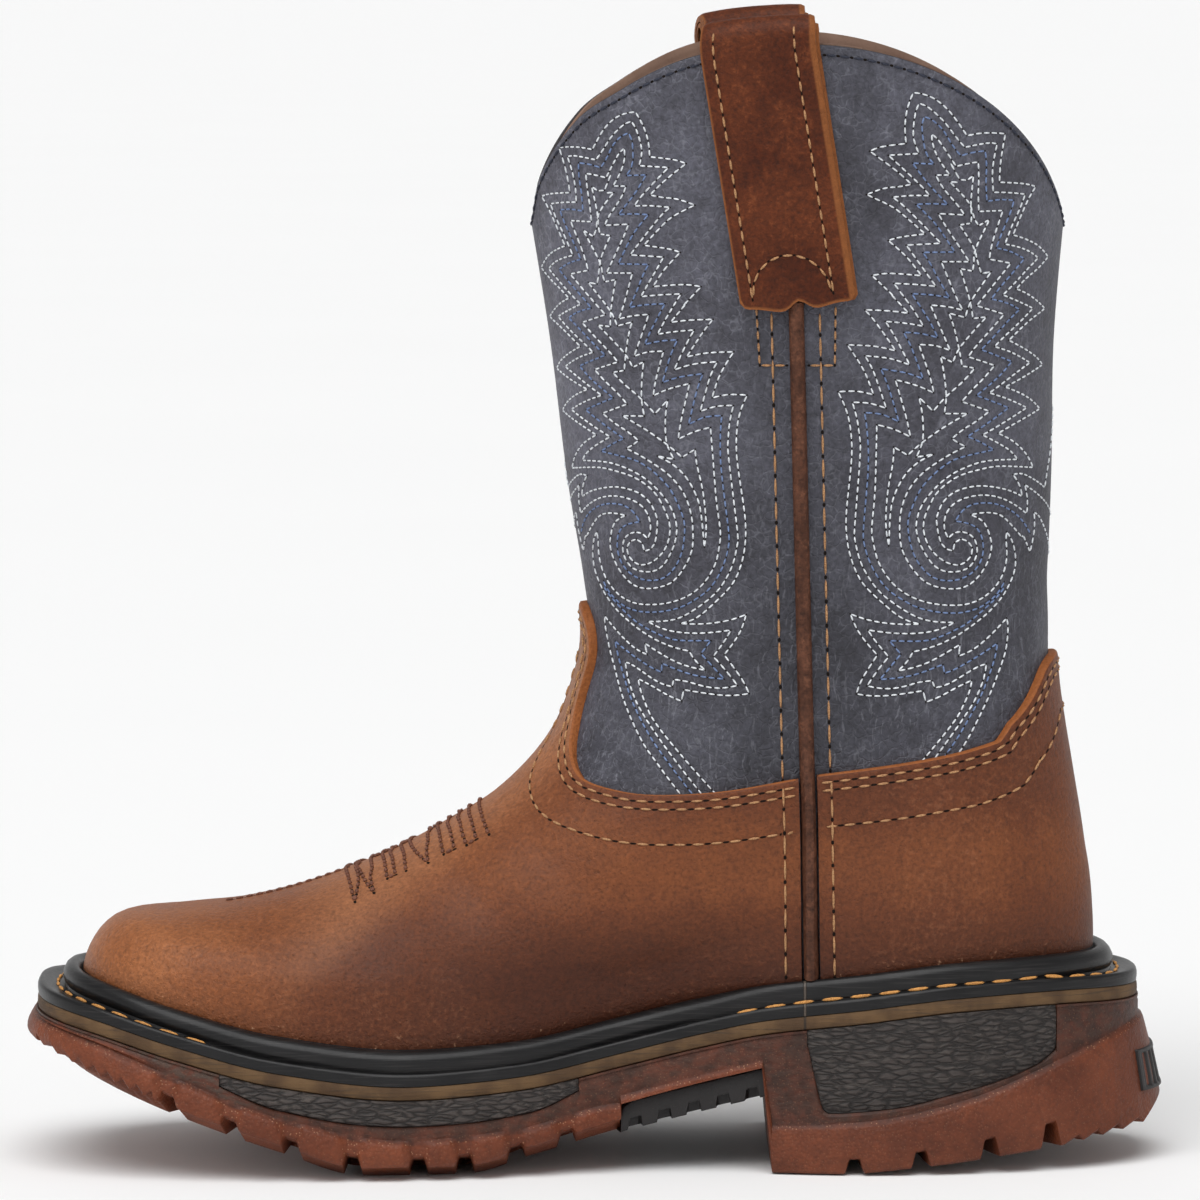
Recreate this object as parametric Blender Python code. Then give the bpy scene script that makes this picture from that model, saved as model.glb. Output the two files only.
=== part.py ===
"""Western work boot for the right foot, standing empty on its sole.

Sizes are in millimetres and are turned into metres where a mesh is made. The toe points to -X, the heel to
+X, the inner (medial) side of the foot faces -Y and +Z is up. The origin is on the floor, under the middle
of the boot's box.
"""

import math
from collections import namedtuple

import bmesh
import bpy
from mathutils import Matrix, Vector

MM = 0.001
MERGE = 0.002

# Gaps and wall thicknesses
GAP = 0.3
UPPER_WALL = 2.2
OVERLAY_WALL = 1.6
OVERLAY_OUT = GAP + OVERLAY_WALL

# The sole's layers above the outsole's top face
MIDSOLE_THICK = 2.2
WELT_THICK = 2.4
RIDGE_TALL = 3.9
INSOLE_THICK = 3.2
FEATHER_LIFT = MIDSOLE_THICK + GAP
WELT_TOP = FEATHER_LIFT + WELT_THICK
RIDGE_TOP = WELT_TOP + RIDGE_TALL

# How many points run round the boot
COLUMNS = 40

# Sections of the upper from the feather line to the collar. Each is a closed ring between a front and a back
# point of the side view. follow says how far the ring keeps to the sole's curve, widest is the place of its
# full half width from back 0 to front 1, the powers square its ends, the waist columns pinch its two sides,
# swing turns its front to the inner side and rise lifts its sides.
Section = namedtuple(
    "Section",
    "front_x front_z back_x back_z follow half_width widest front_power back_power "
    "waist_in waist_out swing rise",
)
UPPER_SECTIONS = [
    Section(-96.5, 30.8, 94.2, 34.4, 1.00, 34.0, 0.66, 3.00, 2.7, 12.0, 7.5, 5.0, 0),
    Section(-97.0, 38.6, 94.8, 42.2, 0.97, 35.4, 0.65, 2.90, 2.8, 10.0, 6.0, 5.0, 0),
    Section(-92.0, 45.2, 94.5, 49.5, 0.86, 35.6, 0.62, 2.70, 2.9, 8.0, 4.5, 5.0, 0),
    Section(-81.0, 46.7, 94.0, 55.0, 0.64, 34.4, 0.58, 2.50, 2.9, 5.0, 2.5, 4.5, 0),
    Section(-69.0, 47.8, 93.2, 60.0, 0.42, 33.3, 0.56, 2.40, 2.9, 3.0, 1.5, 4.0, 0),
    Section(-55.0, 51.1, 92.3, 66.0, 0.20, 31.8, 0.53, 2.40, 2.8, 1.5, 0.7, 3.2, 0),
    Section(-39.1, 57.1, 91.2, 72.5, 0.05, 31.0, 0.50, 2.35, 2.6, 0.5, 0.3, 2.2, 0),
    Section(-28.0, 63.0, 90.2, 78.5, 0.00, 30.7, 0.49, 2.30, 2.5, 0.0, 0.0, 1.4, 0),
    Section(-18.3, 69.0, 89.2, 84.5, 0.00, 30.5, 0.48, 2.25, 2.4, 0.0, 0.0, 0.8, 0),
    Section(-9.5, 77.8, 88.2, 91.5, 0.00, 30.5, 0.48, 2.20, 2.3, 0.0, 0.0, 0.3, 0),
    Section(-4.1, 87.4, 87.7, 98.5, 0.00, 30.7, 0.49, 2.20, 2.2, 0.0, 0.0, 0.0, 0),
    Section(-1.2, 100.0, 87.6, 107.0, 0.00, 31.0, 0.50, 2.15, 2.2, 0.0, 0.0, 0.0, 0),
    Section(-2.4, 112.5, 87.8, 117.5, 0.00, 31.6, 0.50, 2.10, 2.1, 0.0, 0.0, 0.0, 0.5),
    Section(-5.6, 132.0, 88.3, 134.0, 0.00, 33.0, 0.50, 2.10, 2.1, 0.0, 0.0, 0.0, 3.0),
    Section(-8.8, 158.0, 88.6, 158.0, 0.00, 34.8, 0.50, 2.10, 2.1, 0.0, 0.0, 0.0, 14.0),
    Section(-12.5, 181.0, 90.4, 181.0, 0.00, 36.5, 0.50, 2.10, 2.1, 0.0, 0.0, 0.0, 34.5),
]
COLLAR = len(UPPER_SECTIONS) - 1
WAIST_PLACE = 0.43
WAIST_SPREAD = 0.15
COLLAR_ROUNDING = 0.15
BALL_SKEW = 0.006
OUTER_RISE = 1.05
OUTER_ROUNDING = 0.86

# The sole's edge in plan, in the same terms as a section of the upper
SOLE_PLAN = Section(-108.0, 0, 105.5, 0, 1, 42.0, 0.66, 3.1, 2.6, 10.0, 6.0, 5.0, 0)

SOLE_MIDDLE = (SOLE_PLAN.front_x + SOLE_PLAN.back_x) / 2
SOLE_HALF = (SOLE_PLAN.back_x - SOLE_PLAN.front_x) / 2

# Heights along the sole: seat is the outsole's top, shoulder the ledge over the lugs, and the two flares say
# how far the wall stands out at that ledge and at the ground.
Station = namedtuple("Station", "x seat shoulder flare_top flare_low")
SOLE_STATIONS = [
    Station(-108.0, 30.5, 29.5, 1.2, 1.8),
    Station(-95.0, 27.7, 25.9, 1.3, 1.8),
    Station(-80.0, 23.3, 20.0, 1.3, 1.6),
    Station(-60.0, 18.2, 12.4, 1.3, 1.4),
    Station(-36.0, 15.5, 7.8, 1.3, 1.3),
    Station(-15.0, 16.8, 9.4, 1.3, 1.2),
    Station(5.0, 20.7, 13.6, 0.9, 0.8),
    Station(20.0, 24.2, 12.0, 0.6, 0.6),
    Station(33.0, 27.0, 9.5, 0.6, 0.8),
    Station(50.0, 29.0, 10.2, 0.9, 1.3),
    Station(70.0, 31.2, 14.0, 1.2, 2.0),
    Station(90.0, 31.9, 21.5, 1.2, 3.2),
    Station(105.5, 31.4, 27.8, 1.0, 4.3),
]

# The tread's line along the middle of the sole, from the toe to the breast of the heel, then along the heel
Spot = namedtuple("Spot", "x z")
FOREPART_TREAD = [
    Spot(-109.0, 23.6),
    Spot(-95.0, 17.6),
    Spot(-80.0, 11.6),
    Spot(-60.0, 4.6),
    Spot(-44.0, 0.0),
    Spot(-25.0, 0.0),
    Spot(-12.0, 3.2),
    Spot(0.0, 6.4),
    Spot(32.0, 14.6),
]
HEEL_TREAD = [
    Spot(33.8, 0.0),
    Spot(49.6, 0.0),
    Spot(68.0, 1.9),
    Spot(88.5, 4.6),
]
HEEL_RIBS = 4
HEEL_RIB_RUN = (88.5, 102.5)
HEEL_RIB_RISE = (4.6, 7.2)
HEEL_TIP_Z = 11.5
RIB_DEEP = 1.2
CROWN_RISE = 2.8
CROWN_WIDE = 8.0

# Lugs: the grooves between them, and the plain places where the outsole's cross section is also given
FOREPART_GROOVES = (-81.0, -69.3, -57.8, -46.2, -33.7, -24.9, -15.2, -5.6)
HEEL_GROOVES = (49.4, 61.9, 74.8, 86.0)
GROOVE_MOUTH = 3.2
GROOVE_FLOOR = 2.0
GROOVE_LONG = 20.0
TOE_PARTS = (0.0, 0.2, 0.36, 0.5, 0.62, 0.72, 0.8, 0.87)
HEEL_PARTS = (0.6, 0.45, 0.32, 0.18, 0.0)
FOREPART_PLAIN = (-75.0, -71.4, -71.2, -63.5, -52.0, -40.0, -29.0, -20.0, -10.5, -3.2, -3.0, 4.6)
WAIST_PLAIN = (4.8, 12.0, 20.0, 27.0, 31.9)
HEEL_PLAIN = (33.8, 40.2, 40.4, 44.0, 55.5, 68.5, 80.5, 88.3)
PLATE_PLAIN = (-80, -70, -60, -50, -40, -30, -20, -10, 0, 10, 20, 30, 40, 50, 60, 70, 80)

# Panels let into the outsole's side wall: how far each reaches below the seat
Insert = namedtuple("Insert", "x drop")
FOREFOOT_INSERT = [
    Insert(-71.3, 2.2),
    Insert(-60.0, 4.2),
    Insert(-45.0, 4.9),
    Insert(-25.0, 4.9),
    Insert(-12.0, 4.4),
    Insert(-3.1, 2.4),
]
HEEL_INSERT = [
    Insert(40.3, 4.0),
    Insert(44.0, 14.5),
    Insert(48.0, 16.4),
    Insert(57.5, 16.8),
    Insert(69.0, 15.4),
    Insert(78.3, 13.4),
    Insert(85.0, 10.6),
    Insert(88.4, 5.0),
]
POCKET_DEEP = 2.2
INSERT_FACE = -0.25
SHANK_RUN = (4.7, 31.3)
SHANK_TALL = 5.8
SHANK_RIBS = 5
SHANK_RIB_DEEP = 1.0
PLATE_PART = 0.33
PLATE_RUN = (13.4, 21.6)
PLATE_DEEP = 1.2

# Overlays: the lower edge of the shaft panels in the side view, and the side seam under the piping
VAMP_LINE = [
    Spot(-9.0, 107.2),
    Spot(-2.7, 106.6),
    Spot(-1.9, 103.0),
    Spot(-1.8, 98.8),
    Spot(-2.4, 93.1),
    Spot(-4.3, 87.4),
    Spot(-5.6, 82.6),
    Spot(-5.2, 78.8),
    Spot(-2.9, 75.0),
    Spot(1.8, 73.1),
    Spot(10.3, 72.1),
    Spot(23.6, 73.1),
    Spot(37.6, 75.6),
]
COUNTER_LINE = [
    Spot(42.6, 76.5),
    Spot(57.9, 78.4),
    Spot(69.3, 80.3),
    Spot(78.8, 83.2),
    Spot(83.6, 87.9),
    Spot(86.0, 92.7),
    Spot(87.0, 95.8),
    Spot(88.2, 97.4),
    Spot(95.0, 97.8),
]
SEAM_TOP = (38.0, 164.2)
SEAM_FOOT = (41.4, 36.0)
PRISM_REACH = 70.0
PIPING_HALF = 1.45
PIPING_TALL = 1.8
PIPING_TALL_FOOT = 3.3
PIPING_STEPS = 18

# Pull straps
STRAP_X = 30.2
STRAP_WIDE = 20.4
STRAP_LEAN = math.radians(9.0)
STRAP_THICK = 2.4
STRAP_OUTER_LONG = 50.0
STRAP_INNER_LONG = 30.0
STRAP_ACROSS = 4

# Rows of points up the upper
FOOT_ROWS = (0, 0.5, 1, 1.5, 2, 2.5, 3, 3.6, 4.3, 5, 6, 7, 8, 8.7, 9.4, 10.2, 11, 12)
SHAFT_ROWS = (13.2, 14.2, 15)
WELT_ROWS = (0, 0.5, 0.85)


def hermite(rows, field, x):
    """The value of one column of a table at x, on a smooth curve through its rows."""
    xs = [row.x for row in rows]
    ys = [getattr(row, field) for row in rows]
    if x <= xs[0]:
        return ys[0]
    if x >= xs[-1]:
        return ys[-1]
    i = max(k for k in range(len(xs) - 1) if xs[k] <= x)
    slopes = [(ys[k + 1] - ys[k]) / (xs[k + 1] - xs[k]) for k in range(len(xs) - 1)]

    def tangent(k):
        if k == 0 or k == len(xs) - 1:
            return slopes[min(k, len(slopes) - 1)]
        a, b = slopes[k - 1], slopes[k]
        return 0.0 if a * b <= 0 else 2 * a * b / (a + b)

    run = xs[i + 1] - xs[i]
    u = (x - xs[i]) / run
    return (
        (1 + 2 * u) * (1 - u) ** 2 * ys[i]
        + u * (1 - u) ** 2 * run * tangent(i)
        + u * u * (3 - 2 * u) * ys[i + 1]
        + u * u * (u - 1) * run * tangent(i + 1)
    )


def seat(x):
    return hermite(SOLE_STATIONS, "seat", x)


def section_at(t):
    """A section of the upper between two rows of the table, on a smooth curve through them."""
    i = min(int(t), COLLAR - 1)
    u = t - i
    before = UPPER_SECTIONS[max(i - 1, 0)]
    start = UPPER_SECTIONS[i]
    end = UPPER_SECTIONS[i + 1]
    after = UPPER_SECTIONS[min(i + 2, COLLAR)]

    def blend(a, b, c, d):
        return b + 0.5 * u * (c - a + u * (2 * a - 5 * b + 4 * c - d + u * (3 * (b - c) + d - a)))

    return Section(*(blend(*values) for values in zip(before, start, end, after)))


def plan_point(section, theta):
    """(x, y, s) of a section's ring: theta is 0 at the back, a half turn at the front, inner side first."""
    s = (1 - math.cos(theta)) / 2
    inner = math.sin(theta) >= 0
    widest = section.widest + BALL_SKEW * section.swing * (1 if inner else -1)
    if s > widest:
        reach = (s - widest) / (1 - widest)
        power = section.front_power * (1.0 if inner else OUTER_ROUNDING)
    else:
        reach, power = (widest - s) / widest, section.back_power
    breadth = section.half_width * max(0.0, 1 - reach**power) ** (1 / power)
    pinch = section.waist_in if inner else section.waist_out
    breadth -= pinch * math.exp(-(((s - WAIST_PLACE) / WAIST_SPREAD) ** 2))
    turn = max(0.0, s - 0.5) * 2
    y = (-breadth if inner else breadth) - section.swing * turn * turn
    return section.back_x + s * (section.front_x - section.back_x), y, s


FEATHER = UPPER_SECTIONS[0]


def upper_point(theta, t):
    """A point of the upper's outer face."""
    section = section_at(t)
    x, y, s = plan_point(section, theta)
    feather_x = FEATHER.back_x + s * (FEATHER.front_x - FEATHER.back_x)
    feather_line = FEATHER.back_z + s * (FEATHER.front_z - FEATHER.back_z)
    z = section.back_z + s * (section.front_z - section.back_z)
    z += section.follow * (seat(feather_x) + FEATHER_LIFT - feather_line)
    soft = math.hypot(math.sin(theta), COLLAR_ROUNDING) - COLLAR_ROUNDING
    rise = section.rise * (1.0 if math.sin(theta) >= 0 else OUTER_RISE)
    z += rise * soft / (math.hypot(1, COLLAR_ROUNDING) - COLLAR_ROUNDING)
    return Vector((x, y, z))


def upper_offset(theta, t, out):
    """The upper's point moved out along the surface's normal."""
    step = 1e-3
    low, high = max(t - step, 0), min(t + step, COLLAR)
    along = upper_point(theta + step, t) - upper_point(theta - step, t)
    up = upper_point(theta, high) - upper_point(theta, low)
    normal = up.cross(along)
    return upper_point(theta, t) + normal.normalized() * out


def turn_angles(count):
    return [2 * math.pi * k / count for k in range(count)]


# Blender helpers


def clear_scene():
    for obj in list(bpy.data.objects):
        bpy.data.objects.remove(obj)


def make_material(name, colour, roughness):
    material = bpy.data.materials.new(name)
    material.use_nodes = True
    shader = material.node_tree.nodes["Principled BSDF"]
    shader.inputs["Base Color"].default_value = (*colour, 1)
    shader.inputs["Roughness"].default_value = roughness
    shader.inputs["Metallic"].default_value = 0.0
    return material


def make_object(name, bm, material=None):
    bmesh.ops.recalc_face_normals(bm, faces=bm.faces)
    for face in bm.faces:
        face.smooth = True
    mesh = bpy.data.meshes.new(name)
    bm.to_mesh(mesh)
    bm.free()
    mesh.transform(Matrix.Scale(MM, 4))
    mesh.set_sharp_from_angle(angle=math.radians(35))
    obj = bpy.data.objects.new(name, mesh)
    bpy.context.scene.collection.objects.link(obj)
    if material:
        mesh.materials.append(material)
    return obj


def sheet(columns, rows, place):
    """A grid of (columns + 1) by (rows + 1) points laid out by place(i, j), joined where its edges meet."""
    bm = bmesh.new()
    bmesh.ops.create_grid(bm, x_segments=columns, y_segments=rows, size=0.5)
    for vert in bm.verts:
        i = round((vert.co.x + 0.5) * columns)
        j = round((vert.co.y + 0.5) * rows)
        vert.co = place(i, j)
    bmesh.ops.remove_doubles(bm, verts=bm.verts, dist=MERGE)
    return bm


def loft(loops, ring=False):
    """A solid through loops of equal length: a ring of them, or a run whose ends are capped."""
    count = len(loops[0])
    spans = len(loops) if ring else len(loops) - 1
    bm = sheet(spans, count, lambda i, j: loops[i % len(loops)][j % count])
    open_edges = [edge for edge in bm.edges if edge.is_boundary]
    if open_edges:
        bmesh.ops.holes_fill(bm, edges=open_edges, sides=0)
    bmesh.ops.triangulate(bm, faces=bm.faces, quad_method="SHORT_EDGE")
    return bm


def cut(obj, cutter):
    boolean = obj.modifiers.new("cut", "BOOLEAN")
    boolean.operation = "DIFFERENCE"
    boolean.solver = "EXACT"
    boolean.object = cutter
    cutter.hide_render = True
    cutter.display_type = "WIRE"


def side_prism(name, outline):
    """A cutter with an outline in the side view, straight through the boot."""
    bm = bmesh.new()
    verts = [bm.verts.new((x, -PRISM_REACH, z)) for x, z in outline]
    face = bm.faces.new(verts)
    made = bmesh.ops.extrude_face_region(bm, geom=[face])
    moved = [item for item in made["geom"] if isinstance(item, bmesh.types.BMVert)]
    bmesh.ops.translate(bm, verts=moved, vec=(0, 2 * PRISM_REACH, 0))
    bmesh.ops.triangulate(bm, faces=[f for f in bm.faces if len(f.verts) > 4])
    return make_object(name, bm)


# The sole


def sole_theta(x):
    s = (SOLE_PLAN.back_x - x) / (SOLE_PLAN.back_x - SOLE_PLAN.front_x)
    return math.acos(1 - 2 * min(1.0, max(0.0, s)))


def sole_edge(theta, out):
    """A point of the sole's edge in plan, moved out along its normal."""
    step = 1e-4
    x, y, _ = plan_point(SOLE_PLAN, theta)
    ahead = plan_point(SOLE_PLAN, theta + step)
    behind = plan_point(SOLE_PLAN, theta - step)
    run = Vector((ahead[0] - behind[0], ahead[1] - behind[1], 0)).normalized()
    return Vector((x - run.y * out, y + run.x * out, 0))


def toe_stations():
    """Places along the toe, closer together where its edge turns."""
    plan = SOLE_PLAN
    ball = plan.back_x + plan.widest * (plan.front_x - plan.back_x)
    places = []
    for part in TOE_PARTS:
        reach = (1 - part**plan.front_power) ** (1 / plan.front_power)
        places.append(ball + reach * (plan.front_x - ball))
    return places


def heel_stations():
    """Places along the back of the heel, closer together where its edge turns."""
    plan = SOLE_PLAN
    ball = plan.back_x + plan.widest * (plan.front_x - plan.back_x)
    places = []
    for part in HEEL_PARTS:
        reach = (1 - part**plan.back_power) ** (1 / plan.back_power)
        places.append(ball + reach * (plan.back_x - ball))
    return places


def drop_at(rows, x):
    """How far an insert reaches below the seat, or None where it does not reach."""
    if x < rows[0].x or x > rows[-1].x:
        return None
    return hermite(rows, "drop", x)


def straight(rows, x):
    """Height on straight lines through a tread table."""
    for a, b in zip(rows, rows[1:]):
        if x <= b.x:
            return a.z + (b.z - a.z) * max(0.0, (x - a.x) / (b.x - a.x))
    return rows[-1].z


def tread_height(x, on_heel):
    if not on_heel:
        return hermite(FOREPART_TREAD, "z", x)
    if x <= HEEL_RIB_RUN[0]:
        return straight(HEEL_TREAD, x)
    if x >= HEEL_RIB_RUN[1]:
        part = (x - HEEL_RIB_RUN[1]) / (SOLE_PLAN.back_x - HEEL_RIB_RUN[1])
        return HEEL_RIB_RISE[1] + part * (HEEL_TIP_Z - HEEL_RIB_RISE[1])
    part = (x - HEEL_RIB_RUN[0]) / (HEEL_RIB_RUN[1] - HEEL_RIB_RUN[0])
    return HEEL_RIB_RISE[0] + part * (HEEL_RIB_RISE[1] - HEEL_RIB_RISE[0])


Cross = namedtuple("Cross", "x heel lug rib")


def outsole_crosses():
    """Every place along the outsole where its cross section changes, from toe to heel."""
    crosses = []

    def add(x, heel=False, lug=True, rib=0.0):
        crosses.append(Cross(x, heel, lug, rib))

    for x in toe_stations():
        add(x)
    for middle in FOREPART_GROOVES:
        for side in (-1, 1):
            for lug, wide in ((True, GROOVE_MOUTH), (False, GROOVE_FLOOR)):
                add(middle + side * wide / 2, lug=lug)
    for x in FOREPART_PLAIN:
        add(x)
    for x in WAIST_PLAIN:
        add(x)
    for x in HEEL_PLAIN:
        add(x, heel=True)
    for middle in HEEL_GROOVES:
        for side in (-1, 1):
            for lug, wide in ((True, GROOVE_MOUTH), (False, GROOVE_FLOOR)):
                add(middle + side * wide / 2, heel=True, lug=lug)
    pitch = (HEEL_RIB_RUN[1] - HEEL_RIB_RUN[0]) / HEEL_RIBS
    for k in range(HEEL_RIBS):
        start = HEEL_RIB_RUN[0] + k * pitch
        add(start, heel=True)
        add(start + 0.75 * pitch, heel=True, rib=RIB_DEEP)
    for x in heel_stations():
        add(x, heel=True)
    crosses.sort(key=lambda cross: (cross.heel, cross.x))
    return crosses


def outsole_loop(cross):
    """The outsole's closed cross section: down the inner side, across the tread and up the outer side."""
    x = cross.x
    theta = sole_theta(x)
    station = {name: hermite(SOLE_STATIONS, name, x) for name in Station._fields[1:]}
    top = station["seat"] - GAP
    shoulder = min(station["shoulder"], top - 0.6)
    base = tread_height(x, cross.heel)
    tread = base + cross.rib
    crown = CROWN_RISE if not cross.heel else 0.3
    in_waist = not cross.heel and x > SHANK_RUN[0]
    if in_waist:
        tread += SHANK_TALL
        crown = 0.0
        shoulder = max(shoulder, tread + 1.6)
    edge_low = tread + crown
    shoulder = max(shoulder, edge_low + 1.5)
    shoulder = min(shoulder, top - 0.4)
    insert = HEEL_INSERT if cross.heel else FOREFOOT_INSERT
    drop = drop_at(insert, x)
    pocket = POCKET_DEEP if drop is not None else 0.0
    sill = top - (drop if drop is not None else 0.4)
    sill = max(sill, shoulder + 0.3)
    flare_top, flare_low = station["flare_top"], station["flare_low"]
    inner_z = tread
    if not cross.lug:
        flare_top = flare_low = -0.4
        edge_low = shoulder - 1.6
        inner_z = shoulder - 1.8
    half = []
    for side in (1, -1):
        turned = theta * side

        def wall(out, z, turned=turned):
            point = sole_edge(turned, out)
            point.z = z
            return point

        rim = sole_edge(turned, 0.0)
        centre_y = -SOLE_PLAN.swing * max(0.0, -math.cos(theta)) ** 2
        reach = max(abs(rim.y - centre_y), 0.01)

        def under(inset, lift, rim=rim, centre_y=centre_y, reach=reach):
            part = max(0.3, (reach - inset) / reach)
            from_middle = (x - SOLE_MIDDLE) / SOLE_HALF
            inner_x = x - 0.6 * inset * from_middle * abs(from_middle) ** 3
            z = tread_height(inner_x, cross.heel) + lift
            return Vector((inner_x, centre_y + (rim.y - centre_y) * part, z))

        points = [
            wall(-pocket, top),
            wall(-pocket, sill),
            wall(0.0, sill - 0.05),
            wall(0.0, shoulder),
            wall(flare_top, shoulder - 1.2),
            wall(flare_low, edge_low),
            under(CROWN_WIDE, inner_z - base),
            under(GROOVE_LONG, inner_z - base),
            under(GROOVE_LONG + 0.6, tread - base),
        ]
        half.append(points)
    return half[0] + half[1][::-1]


def plate_loops(places, inset, low, high):
    """Loops of a plate that follows the sole's edge, between two heights over the seat."""
    loops = []
    for x in places:
        theta = sole_theta(x)
        loop = []
        for side, height in ((1, high), (1, low), (-1, low), (-1, high)):
            point = sole_edge(theta * side, -inset)
            point.z = seat(point.x) + height
            loop.append(point)
        loops.append(loop)
    return loops


def wall_insert(rows, side, places, face):
    """A panel in a pocket of the outsole's side wall."""
    loops = []
    for x in places:
        theta = sole_theta(x) * side
        top = seat(x) - GAP
        sill = top - hermite(rows, "drop", x) + GAP
        station_shoulder = hermite(SOLE_STATIONS, "shoulder", x)
        sill = max(sill, station_shoulder + 0.3 + GAP)
        loop = []
        back = GAP - POCKET_DEEP
        for out, z in ((back, top), (back, sill), (face, sill), (face, top)):
            point = sole_edge(theta, out)
            point.z = z
            loop.append(point)
        loops.append(loop)
    return loft(loops)


def shank_loops():
    """The ribbed block under the arch, across the whole sole."""
    loops = []
    steps = 2 * SHANK_RIBS
    for k in range(steps + 1):
        x = SHANK_RUN[0] + 2 * GAP + k * (SHANK_RUN[1] - SHANK_RUN[0] - 3 * GAP) / steps
        low = tread_height(x, False) + (SHANK_RIB_DEEP if k % 2 else 0.0)
        high = tread_height(x, False) + SHANK_TALL - GAP
        loop = []
        for side, z in ((1, high), (1, low), (-1, low), (-1, high)):
            point = sole_edge(sole_theta(x) * side, -1.2)
            point.z = z
            loop.append(point)
        loops.append(loop)
    return loops


def heel_wall(part, z, out):
    """A point on the heel's back wall: part is the breadth, -1 on the outer side to 1 on the inner."""
    plan = SOLE_PLAN
    ball = plan.back_x + plan.widest * (plan.front_x - plan.back_x)
    reach = (1 - abs(part) ** plan.back_power) ** (1 / plan.back_power)
    x = ball + reach * (plan.back_x - ball)
    theta = math.copysign(sole_theta(x), part)
    ledge = hermite(SOLE_STATIONS, "shoulder", x) - 1.2
    foot = tread_height(x, True) + 0.3
    down = (ledge - z) / (ledge - foot)
    flare_top = hermite(SOLE_STATIONS, "flare_top", x)
    flare_low = hermite(SOLE_STATIONS, "flare_low", x)
    point = sole_edge(theta, flare_top + down * (flare_low - flare_top) + out)
    point.z = z
    return point


def heel_window(margin, inner, outer):
    """A curved box in the back wall of the heel."""
    loops = []
    reach = PLATE_PART - margin / SOLE_PLAN.half_width
    low, high = PLATE_RUN[0] + margin, PLATE_RUN[1] - margin
    for k in range(9):
        part = reach * (k / 4 - 1)
        corners = ((low, inner), (high, inner), (high, outer), (low, outer))
        loops.append([heel_wall(part, z, out) for z, out in corners])
    return loft(loops)


def welt_loops():
    """Loops of the welt: an L with its ridge against the upper and its flat out to the sole's edge."""
    loops = []
    for theta in turn_angles(COLUMNS):
        foot, middle, ridge = (upper_offset(theta, t, OVERLAY_OUT + GAP) for t in WELT_ROWS)
        out = upper_offset(theta, 0.5, 1.0) - upper_offset(theta, 0.5, 0.0)
        out = Vector((out.x, out.y, 0)).normalized()
        rim = edge_beyond(foot, out)
        loop = [middle, ridge]
        for point, lift in (
            (ridge + out * 0.7, RIDGE_TOP),
            (ridge + out * 2.2, RIDGE_TOP - 0.4),
            (ridge + out * 3.1, WELT_TOP),
            (rim - out * 0.9, WELT_TOP - 0.1),
            (rim - out * 0.3, WELT_TOP - 0.7),
            (rim - out * 0.3, FEATHER_LIFT),
            (foot, FEATHER_LIFT),
        ):
            loop.append(Vector((point.x, point.y, seat(point.x) + lift)))
        loops.append(loop)
    return loops


SOLE_RIM = [plan_point(SOLE_PLAN, angle)[:2] for angle in turn_angles(1440)]


def edge_beyond(start, out):
    """Where a line from a point of the upper outwards in plan crosses the sole's edge."""
    best = None
    for a, b in zip(SOLE_RIM, SOLE_RIM[1:] + SOLE_RIM[:1]):
        ex, ey = b[0] - a[0], b[1] - a[1]
        det = out.x * -ey + out.y * ex
        if abs(det) < 1e-12:
            continue
        dx, dy = a[0] - start.x, a[1] - start.y
        far = (dx * -ey + dy * ex) / det
        part = (out.x * dy - out.y * dx) / det
        if -1e-9 <= part <= 1 + 1e-9 and far > 0 and (best is None or far < best):
            best = far
    return Vector((start.x + out.x * best, start.y + out.y * best, 0))


def insole_loops():
    """Loops across the insole, a gap inside the upper's wall."""
    loops = []
    for k in range(COLUMNS // 2 + 1):
        angle = math.pi * k / (COLUMNS // 2)
        loop = []
        for theta, lift in ((angle, INSOLE_THICK), (angle, 0.0), (-angle, 0.0), (-angle, INSOLE_THICK)):
            point = upper_offset(theta, 0.0, -UPPER_WALL - 1.5 * GAP)
            loop.append(Vector((point.x, point.y, seat(point.x) + FEATHER_LIFT + lift)))
        loops.append(loop)
    return loops


# The upper and what lies on it


def shell_loops(rows, inner, outer):
    """One loop for each column: up the outer face and down the inner face, with a level lower edge."""
    loops = []
    for theta in turn_angles(COLUMNS):
        outside = [upper_offset(theta, t, outer) for t in rows]
        inside = [upper_offset(theta, t, inner) for t in rows]
        for point in (outside[0], inside[0]):
            point.z = seat(point.x) + FEATHER_LIFT
        loops.append(outside + inside[::-1])
    return loops


def smooth_line(rows, steps=5):
    """Points on a smooth curve through a short table."""
    line = []
    for i in range(len(rows) - 1):
        a, b = rows[max(i - 1, 0)], rows[i]
        c, d = rows[i + 1], rows[min(i + 2, len(rows) - 1)]
        for k in range(steps):
            u = k / steps
            line.append(tuple(
                q + 0.5 * u * (r - p + u * (2 * p - 5 * q + 4 * r - s + u * (3 * (q - r) + s - p)))
                for p, q, r, s in zip(a, b, c, d)
            ))
    return line + [tuple(rows[-1])]


def seam_x(z):
    part = (z - SEAM_FOOT[1]) / (SEAM_TOP[1] - SEAM_FOOT[1])
    return SEAM_FOOT[0] + part * (SEAM_TOP[0] - SEAM_FOOT[0])


def surface_place(x, z, inner):
    """The ring angle and section of the upper's point that shows at x and z in the side view."""

    def angle(t):
        section = section_at(t)
        s = (section.back_x - x) / (section.back_x - section.front_x)
        turn = math.acos(1 - 2 * min(1.0, max(0.0, s)))
        return turn if inner else -turn

    low, high = 0.0, float(COLLAR)
    for _ in range(40):
        middle = (low + high) / 2
        if upper_point(angle(middle), middle).z < z:
            low = middle
        else:
            high = middle
    return angle(low), low


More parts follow.
